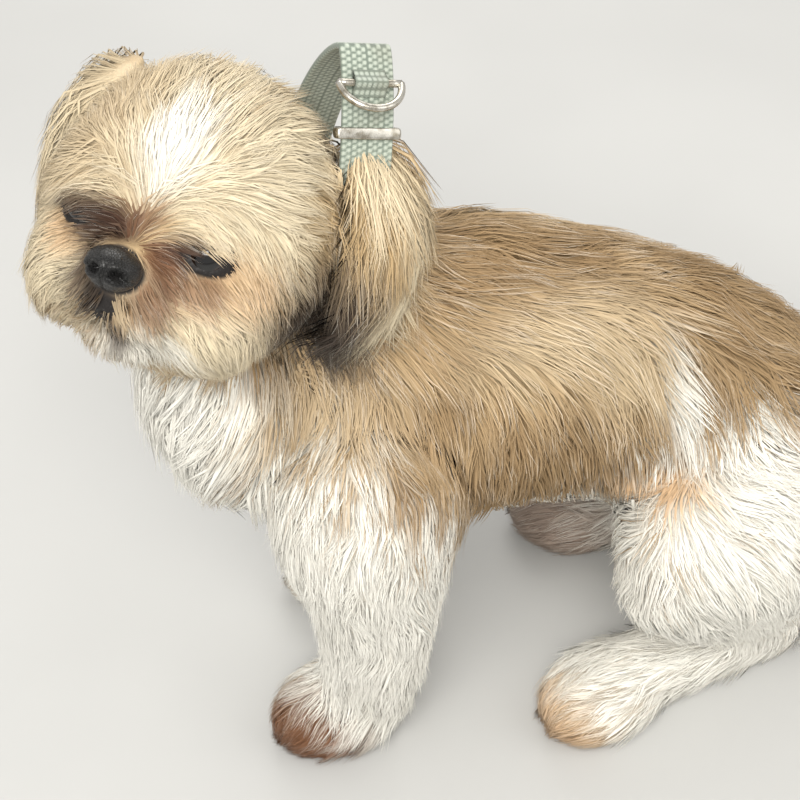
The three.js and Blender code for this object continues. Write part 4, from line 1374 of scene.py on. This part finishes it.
def markings_and_painted_light(finish, place, ragged, body=True, head=True):
    """The dog's colours, with a few marks of painted light and shade, at a place in its own millimetres, by
    the marks of its body, its head or both.
    """
    away = finish.vector("SUBTRACT", place, tuple(HEAD_CENTRE))
    in_axes = [finish.vector("DOT_PRODUCT", away, tuple(axis), "Value") for axis in HEAD_FRAME]
    head_place = finish.joined(*in_axes)
    broad = finish.noise(place, 0.03, 3.0)
    colour = finish.mix(broad.ramp(0.3, 0.7), TAN_DEEP, TAN)
    for marks, spot, used in ((BODY_MARKS, place, body), (HEAD_MARKS, head_place, head)):
        for centre, radii, tint, softness, strength in marks if used else ():
            share = oval(finish, spot, centre, radii, softness, ragged) * strength
            colour = finish.mix(share, colour, tint)
    return colour, head_place


BARE_OVALS = [
    *both((EYE_FORWARD + 3, EYE_ASIDE + 1.5, 0), (13.5, 12.5, 8), 0.12),
    ((67, 0, -12), (8, 11.5, 9.5), 0.12),
    ((63, -4, -27), (9, 11, 7), 0.25),
]


def bare_parts(finish, head_place, colour):
    """Dark lids, lips and the skin round the nose."""
    shares = [oval(finish, head_place, *spot, 0.0) for spot in BARE_OVALS]
    return finish.mix(functools.reduce(Signal.most, shares), colour, PITCH)


def coat_finish(name, **parts):
    """Tufts: darker at the root as painted shade, the topmost hairs paler toward the tip."""
    finish = Finish(name)
    place = finish.attribute("place", "Vector")
    along = finish.attribute("along")
    tone = finish.attribute("tone")
    ragged = (finish.noise(place, 0.09, 2.0) - 0.5) * EDGE_RAGGED + (tone - 0.5) * EDGE_TUFTED
    colour, _ = markings_and_painted_light(finish, place, ragged, **parts)
    # painted shade: each tuft darkens toward its root; the tone factor is its own random tone
    shade = along.ramp(0, 0.7, 0.9, 1.0) * tone.ramp(0, 0.7, 0.86, 1.06)
    deep = finish.vector("MULTIPLY", colour, finish.joined(shade, shade ** 1.05, shade ** 1.15))
    pale = finish.mix(along.ramp(0.3, 1.0) * (tone.ramp(0.7, 0.8) * 0.34 + 0.03), deep, WHITE)
    return finish.surface(
        Base_Color=pale,
        Roughness=tone.ramp(0, 1, 0.74, 0.6),
        Specular_IOR_Level=0.22,
    )


def skin_finish():
    finish = Finish("skin")
    place = finish.attribute("place", "Vector")
    fine = finish.noise(place, 0.9, 3.0)
    ragged = (finish.noise(place, 0.09, 2.0) - 0.5) * EDGE_RAGGED
    colour, head_place = markings_and_painted_light(finish, place, ragged)
    # painted shade: the skin under the coat is darkened, a little more in blue, by an amount that varies at
    # random, like the shaded roots of the tufts
    shade = fine.ramp(0.3, 0.7, 0.78, 0.92)
    colour = finish.vector("MULTIPLY", colour, finish.joined(shade, shade * 0.97, shade * 0.93))
    colour = bare_parts(finish, head_place, colour)
    return finish.surface(
        Base_Color=colour,
        Roughness=fine.ramp(0.2, 0.8, 0.42, 0.7),
        Specular_IOR_Level=0.4,
        Normal=finish.bump(fine, 0.0004),
    )


def eye_finish():
    finish = Finish("eye")
    gaze = finish.attribute("gaze")
    place = finish.attribute("place", "Vector")
    streaks = finish.noise(place, 0.8, 4.0)
    white = paint(96, 76, 66)
    iris = finish.mix(streaks.ramp(0.3, 0.7), paint(22, 12, 8), paint(44, 25, 15))
    colour = finish.mix(gaze.ramp(0.56, 0.64), white, iris)
    colour = finish.mix(gaze.ramp(0.86, 0.9), colour, paint(7, 5, 5))
    return finish.surface(
        Base_Color=colour,
        Roughness=gaze.ramp(0.5, 0.7, 0.16, 0.05),
        Specular_IOR_Level=0.3,
        Coat_Weight=0.7,
        Coat_Roughness=0.03,
    )


def nose_finish():
    finish = Finish("nose_leather")
    place = finish.attribute("place", "Vector")
    settings = {"feature": "DISTANCE_TO_EDGE"}
    cells = finish.node("ShaderNodeTexVoronoi", settings, {"Vector": place, "Scale": 0.85}, "Distance")
    pebble = cells.ramp(0.0, 0.16)
    worn = finish.noise(place, 0.22, 3.0)
    colour = finish.mix(pebble, paint(4, 4, 4), paint(19, 18, 17))
    colour = finish.mix(worn.ramp(0.45, 0.75) * 0.5, colour, paint(34, 32, 30))
    return finish.surface(
        Base_Color=colour,
        Roughness=worn.ramp(0.3, 0.7, 0.3, 0.52),
        Specular_IOR_Level=0.45,
        Coat_Weight=0.2,
        Coat_Roughness=0.25,
        Normal=finish.bump(pebble, 0.0005, 1.0),
    )


def webbing_finish(name, pale, dark):
    finish = Finish(name)
    run = finish.attribute("run")
    cross = finish.attribute("cross")
    weave = finish.attribute("weave")
    place = finish.joined(run, cross, 0.0)
    thread = (run * 9.0 + cross * 4.0).sine() * 0.5 + 0.5
    grime = finish.noise(place, 0.06, 3.0)
    fluff = finish.noise(place, 1.6, 3.0)
    colour = finish.mix(weave.ramp(0.1, 0.9), dark, pale)
    colour = finish.mix(thread * 0.18, colour, dark)
    colour = finish.mix(grime.ramp(0.45, 0.8) * 0.35, colour, paint(122, 116, 98))
    return finish.surface(
        Base_Color=colour,
        Roughness=fluff.ramp(0.2, 0.8, 0.7, 0.9),
        Specular_IOR_Level=0.3,
        Sheen_Weight=0.2,
        Normal=finish.bump(thread * 0.6 + fluff * 0.4, 0.0002, 0.7),
    )


def steel_finish():
    finish = Finish("collar_steel")
    place = finish.attribute("place", "Vector")
    scratch = finish.noise(finish.vector("MULTIPLY", place, (6.0, 0.8, 0.8)), 1.2, 3.0)
    tarnish = finish.noise(place, 0.25, 2.0)
    colour = finish.mix(tarnish.ramp(0.4, 0.75), paint(206, 202, 192), paint(150, 143, 128))
    return finish.surface(
        Base_Color=colour,
        Metallic=1.0,
        Roughness=scratch.ramp(0.3, 0.7, 0.2, 0.38),
        Normal=finish.bump(scratch, 0.00005, 0.5),
    )


# Eyes and nose

CORNEA_FROM, CORNEA_PROUD = 0.72, 0.07


def make_eye(side, node, finish):
    """An eyeball with its cornea standing a little proud."""
    points, faces = fine_ball(5)
    gaze = points @ eye_facing(side)
    bulge = 1 + CORNEA_PROUD * step01(gaze, CORNEA_FROM, 1.0)
    spots = eye_centre(side) + points * (EYE_RADIUS * bulge)[:, None]
    stand_in(node + "_ball", node, mesh_of(node + "_ball", spots, faces), finish, gaze=gaze, place=spots)


NOSTRIL = (4.9, -1.0, 2.6, 2.1)
NOSTRIL_TAIL = (7.6, -2.6, 2.6, 0.9)
NOSTRIL_DEEP, TAIL_DEEP, RIM_HIGH, GROOVE_DEEP = 4.8, 1.6, 0.7, 0.9
RIM_AT, RIM_WIDE = 1.55, 0.45
GROOVE_WIDE = 0.7
TOP_FLAT = 0.14


def make_nose(finish):
    """The nose pad: a broad ball with comma-shaped nostrils, their rims and a groove between them."""
    ball, faces = fine_ball(6)
    local = ball * NOSE_SIZE
    front = step01(ball[:, 0], 0.0, 0.5)
    carve = np.zeros(len(ball))
    for side in (1, -1):
        hole, tail = (
            np.hypot((local[:, 1] * side - aside) / wide, (local[:, 2] - up) / tall)
            for aside, up, wide, tall in (NOSTRIL, NOSTRIL_TAIL))
        rim = soft_spot(hole, RIM_AT, RIM_WIDE)
        carve += NOSTRIL_DEEP * np.exp(-hole ** 2 * 1.1) + TAIL_DEEP * np.exp(-tail ** 2) - RIM_HIGH * rim
    carve += GROOVE_DEEP * soft_spot(local[:, 1], 0, GROOVE_WIDE) * step01(-local[:, 2], -3.5, 2)
    flat_top = 1 - TOP_FLAT * step01(ball[:, 2], 0.3, 1.0)
    local = local * flat_top[:, None] - ball * (carve * front)[:, None]
    spots = on_head(NOSE_FORWARD, 0, -NOSE_DROP) + local @ HEAD_FRAME
    stand_in("nose_pad", "nose", mesh_of("nose_pad", spots, faces), finish, place=spots)


# Collar pieces

LOOP_STEPS = 640
RIB = 2.4
ROW = 2.1
WEAVE_HIGH = 0.32
WEAVE_SQUARE = 0.6
EDGE_ROUND = 0.9
EDGE_SAMPLES = 25
EDGE_STEPS = 7


def on_loop(angle, out, axial):
    """A place on the collar: angle from its top to the left, out from the inner face, along its axis."""
    spot = COLLAR_CENTRE + loop_place(angle) @ LOOP_PLANE
    normal = loop_normal(angle) @ LOOP_PLANE
    return spot + normal * np.asarray(out)[..., None] + LEAN_AXIS * np.asarray(axial)[..., None]


def webbing_section():
    """Round the webbing's section: places across, out, and 1 on the outer face, -1 on the inner one."""
    flat_half = WEBBING_WIDTH / 2 - EDGE_ROUND
    middle = WEBBING_THICK / 2
    across = np.linspace(-flat_half, flat_half, EDGE_SAMPLES)
    turn = np.linspace(-math.pi / 2, math.pi / 2, EDGE_STEPS)[1:-1]
    outer = [(x, WEBBING_THICK, 1) for x in across]
    inner = [(x, 0.0, -1) for x in across[::-1]]
    right, left = ([(side * (flat_half + EDGE_ROUND * math.cos(t)), middle - side * middle * math.sin(t), 0)
                    for t in turn] for side in (1, -1))
    return np.array(outer + right + inner + left)


def make_webbing(finish):
    section = webbing_section()
    sides = len(section)
    angles = circle(LOOP_STEPS)
    line = loop_place(angles)
    run = np.cumsum(np.linalg.norm(line - np.roll(line, 1, axis=0), axis=1))
    ribs = round(run[-1] / RIB)
    run = run / run[-1] * ribs * RIB
    angle, across = np.meshgrid(angles, section[:, 0], indexing="ij")
    runs = np.broadcast_to(run[:, None], angle.shape)
    row = np.floor(across / ROW)
    weave = np.abs(np.sin(math.pi * (runs / RIB + 0.5 * row)))
    weave = weave * np.abs(np.sin(math.pi * across / ROW)) ** WEAVE_SQUARE
    out = section[:, 1] - section[:, 2] * (1 - weave) * WEAVE_HIGH
    points = on_loop(angle, out, across).reshape(-1, 3)
    i, k = np.meshgrid(np.arange(LOOP_STEPS), np.arange(sides), indexing="ij")
    here, ahead = i * sides, (i + 1) % LOOP_STEPS * sides
    beside = (k + 1) % sides
    a, b, c, d = here + k, here + beside, ahead + beside, ahead + k
    faces = np.stack([a, b, c, a, c, d], -1).reshape(-1, 3)
    mesh = mesh_of("webbing", points, facing_out(points, faces))
    stand_in("webbing", "collar", mesh, finish, run=runs, cross=across, weave=weave)


def collar_basis(angle_degrees, out):
    """The middle of a fitting on the webbing, and its directions across, along and off the webbing."""
    angle = np.array(math.radians(angle_degrees))
    normal = loop_normal(angle) @ LOOP_PLANE
    return on_loop(angle, out, 0.0), LEAN_AXIS, np.cross(normal, LEAN_AXIS), normal


def steel_piece(name, node, shapes, finish):
    points, faces = gathered(shapes)
    stand_in(name, node, mesh_of(name, points, faces), finish, place=points)


SLIDER_CORNER = 1.3
SLIDER_THICK, SLIDER_LONG = 0.85, 2.2
BAR_SIDES = 12


def make_slider(finish):
    """A flat frame of bent bar round the webbing."""
    centre, axis, along, normal = collar_basis(SLIDER_ANGLE, WEBBING_THICK / 2 + 0.2)
    half = WEBBING_WIDTH / 2 + 1.9 - SLIDER_CORNER
    rise = WEBBING_THICK / 2 + 1.5 - SLIDER_CORNER
    ring = []
    for x_side, z_side, start in ((1, 1, 0), (-1, 1, 90), (-1, -1, 180), (1, -1, 270)):
        for bend in np.radians(start + np.linspace(0, 90, 6)):
            x = x_side * half + SLIDER_CORNER * math.cos(bend)
            z = z_side * rise + SLIDER_CORNER * math.sin(bend)
            out = unit((x, z))
            for t in circle(BAR_SIDES):
                lift = SLIDER_THICK * math.cos(t)
                ring.append(centre + axis * (x + out[0] * lift) + normal * (z + out[1] * lift)
                            + along * SLIDER_LONG * math.sin(t))
    count = len(ring) // BAR_SIDES
    faces = []
    for i in range(count):
        here, ahead = i * BAR_SIDES, (i + 1) % count * BAR_SIDES
        for k in range(BAR_SIDES):
            j = (k + 1) % BAR_SIDES
            faces.append([here + k, here + j, ahead + j, ahead + k])
    steel_piece("slider", "collar_slider", [(np.array(ring), faces)], finish)


RING_LEAN = (0.55, 0.83)
RING_ENDS = 0.2
RING_SIDES = 14


def make_ring(finish):
    """A D-ring: a bow of round wire and the straight bar it hangs by."""
    centre, axis, along, normal = collar_basis(RING_ANGLE, WEBBING_THICK + RING_WIRE + 0.3)
    reach = unit(normal * RING_LEAN[0] + along * RING_LEAN[1])
    turns = np.linspace(0, math.pi, 33)
    bow = centre + axis * (RING_RADIUS * np.cos(turns))[:, None]
    bow += reach * (RING_RADIUS * np.sin(turns))[:, None]
    bar = np.array([centre + axis * (RING_RADIUS + RING_ENDS) * t for t in np.linspace(-1, 1, 9)])
    steel_piece("d_ring", "collar_ring", [rod(line, RING_WIRE, RING_SIDES) for line in (bow, bar)], finish)


KEEPER_ROWS = 33
KEEPER_HALF_WIDE, KEEPER_HALF_LONG = 6.5, 5.2
KEEPER_LOW, KEEPER_HIGH, KEEPER_BEND = -2.2, 4.6, 2.6
KEEPER_THICK = 0.9
KEEPER_WEAVE = 0.25


def make_keeper(finish):
    """A short loop of webbing sewn down over the bar of the ring."""
    centre, axis, along, normal = collar_basis(RING_ANGLE, WEBBING_THICK + 2.3 + 0.3)
    u = blend(-KEEPER_HALF_LONG, KEEPER_HALF_LONG, np.linspace(0, 1, 25))
    profile = np.stack([u, KEEPER_LOW + KEEPER_HIGH * soft_spot(u, 0, KEEPER_BEND)], 1)
    section = np.concatenate([profile, profile[::-1] - [0, KEEPER_THICK]])
    points, runs = [], []
    for x in np.linspace(-KEEPER_HALF_WIDE, KEEPER_HALF_WIDE, KEEPER_ROWS):
        for u, lift in section:
            weave = abs(math.sin(math.pi * u / RIB)) * abs(math.sin(math.pi * x / ROW)) ** WEAVE_SQUARE
            points.append(centre + axis * x + along * u + normal * (lift + KEEPER_WEAVE * weave))
            runs.append((u, x, weave))
    points = np.array(points)
    faces = np.array(triangles(tube_faces(KEEPER_ROWS, len(section))))
    mesh = mesh_of("keeper", points, facing_out(points, faces))
    run, cross, weave = np.array(runs).T
    stand_in("keeper", "collar_keeper", mesh, finish, run=run, cross=cross, weave=weave)


# The dog

FLESH = ["torso", "rump", "neck", "head", "left_ear", "right_ear", "left_foreleg", "right_foreleg",
         "left_hindleg", "right_hindleg", "tail"]
PIECE_LIMIT = 190000


def shared_out(tufts, region):
    """A region's tufts in as few pieces as their triangles allow, from front to back or side to side."""
    mine = tufts.region == REGIONS.index(region)
    cost = tufts.cost * mine
    count = int(math.ceil(cost.sum() / PIECE_LIMIT))
    order = np.argsort(tufts.root[:, 1 if region == "torso" else 0], kind="stable")
    reach = np.cumsum(cost[order])
    part = np.empty(len(order), int)
    part[order] = np.minimum((reach - 1) * count // max(reach[-1], 1), count - 1)
    return [mine & (part == k) for k in range(count)]


def dress():
    rng = np.random.default_rng(11)
    skin_mesh = make_skin()
    pelt = Pelt(skin_mesh)
    store(skin_mesh, "place", pelt.points)
    skin = placed("skin", skin_mesh, skin_finish())
    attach(skin, "root")
    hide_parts(*FLESH)

    picks, share = pelt.roots(rng, COAT_TRIANGLES)
    tufts = Tufts(pelt, picks, share, rng)
    unwrap = unwrapped(skin_mesh, tufts.root)
    tufts.lines = {stations: tufts.shaped(stations) for stations, _ in (LONG_CUT, SHORT_CUT)}
    on_body, on_neck, on_head = (
        coat_finish("body_coat", head=False), coat_finish("neck_coat"), coat_finish("head_coat", body=False))
    finishes = dict.fromkeys(("head", "muzzle", "left_ear", "right_ear"), on_head) | {"neck": on_neck}
    for region in REGIONS:
        parts = shared_out(tufts, region)
        for number, chosen in enumerate(parts, 1):
            sets = [Strands(tufts, np.flatnonzero(kept), *cut, unwrap) for cut, kept in (
                (LONG_CUT, chosen & ~tufts.short), (SHORT_CUT, chosen & tufts.short)) if kept.any()]
            name = f"coat_{region}" if len(parts) == 1 else f"coat_{region}_{number}"
            coat_piece(name, sets, finishes.get(region, on_body))
    print("tufts", len(tufts.root), "triangles", int(tufts.cost.sum()))


# Stage, light and camera

CAMERA_TURN = math.radians(-16)
CAMERA_LIFT = math.radians(44)
CAMERA_AWAY = 1.0
CAMERA_TARGET = (-12.0, 34.0, 142.0)
CAMERA_SPREAD = 2 * math.atan(400 / 2150)
LIGHTS_AT = (-0.04, 0, 0.16)
LIGHTS = {
    "key": ((-0.65, -1.2, 1.7), 1.0, 38, (1.0, 0.98, 0.94)),
    "fill": ((1.3, -1.1, 1.2), 1.4, 9, (1.0, 0.99, 0.97)),
    "back": ((0.4, 1.4, 1.6), 1.2, 14, (1.0, 0.98, 0.95)),
}
ROOM_COLOUR = (1.0, 0.99, 0.97, 1)
ROOM_STRENGTH = 0.74
FLOOR_SIZE = 12


def aimed(name, data, place, target):
    """A camera or light at a place in metres, looking at another."""
    piece = bpy.data.objects.new(name, data)
    bpy.context.scene.collection.objects.link(piece)
    back = Vector(place) - Vector(target)
    piece.matrix_world = Matrix.Translation(place) @ back.to_track_quat("Z", "Y").to_matrix().to_4x4()
    return piece


def make_camera():
    data = bpy.data.cameras.new("camera")
    data.sensor_fit = "HORIZONTAL"
    data.angle = CAMERA_SPREAD
    level = math.cos(CAMERA_LIFT)
    back = Vector((math.sin(CAMERA_TURN) * level, -math.cos(CAMERA_TURN) * level, math.sin(CAMERA_LIFT)))
    target = Vector(to_metres(CAMERA_TARGET))
    bpy.context.scene.camera = aimed("camera", data, target + back * CAMERA_AWAY, target)


def make_light(name, place, size, watts, colour):
    data = bpy.data.lights.new(name, "AREA")
    data.size = size
    data.energy = watts
    data.color = colour
    aimed(name, data, Vector(place), LIGHTS_AT)


def make_stage():
    finish = Finish("pale_floor")
    place = finish.node("ShaderNodeTexCoord", output="Object")
    cloud = finish.noise(place, 3.0, 3.0)
    colour = finish.mix(cloud.ramp(0.3, 0.7), paint(190, 190, 188), paint(197, 197, 195))
    material = finish.surface(Base_Color=colour, Roughness=0.85, Specular_IOR_Level=0.2)
    bpy.ops.mesh.primitive_plane_add(size=FLOOR_SIZE)
    floor = bpy.context.object
    floor.name = "floor"
    floor.data.materials.append(material)


def make_world():
    world = bpy.data.worlds.new("soft_room")
    world.use_nodes = True
    back = world.node_tree.nodes["Background"]
    back.inputs["Color"].default_value = ROOM_COLOUR
    back.inputs["Strength"].default_value = ROOM_STRENGTH
    bpy.context.scene.world = world


make_camera()
make_stage()
make_world()
for light, settings in LIGHTS.items():
    make_light(light, *settings)
bpy.context.scene.view_settings.view_transform = "Standard"

dress()
eyes = eye_finish()
make_eye(1, "left_eye", eyes)
make_eye(-1, "right_eye", eyes)
make_nose(nose_finish())
make_webbing(webbing_finish("webbing", paint(188, 196, 182), paint(118, 128, 117)))
make_keeper(webbing_finish("keeper_webbing", paint(180, 188, 175), paint(118, 126, 115)))
steel = steel_finish()
make_slider(steel)
make_ring(steel)
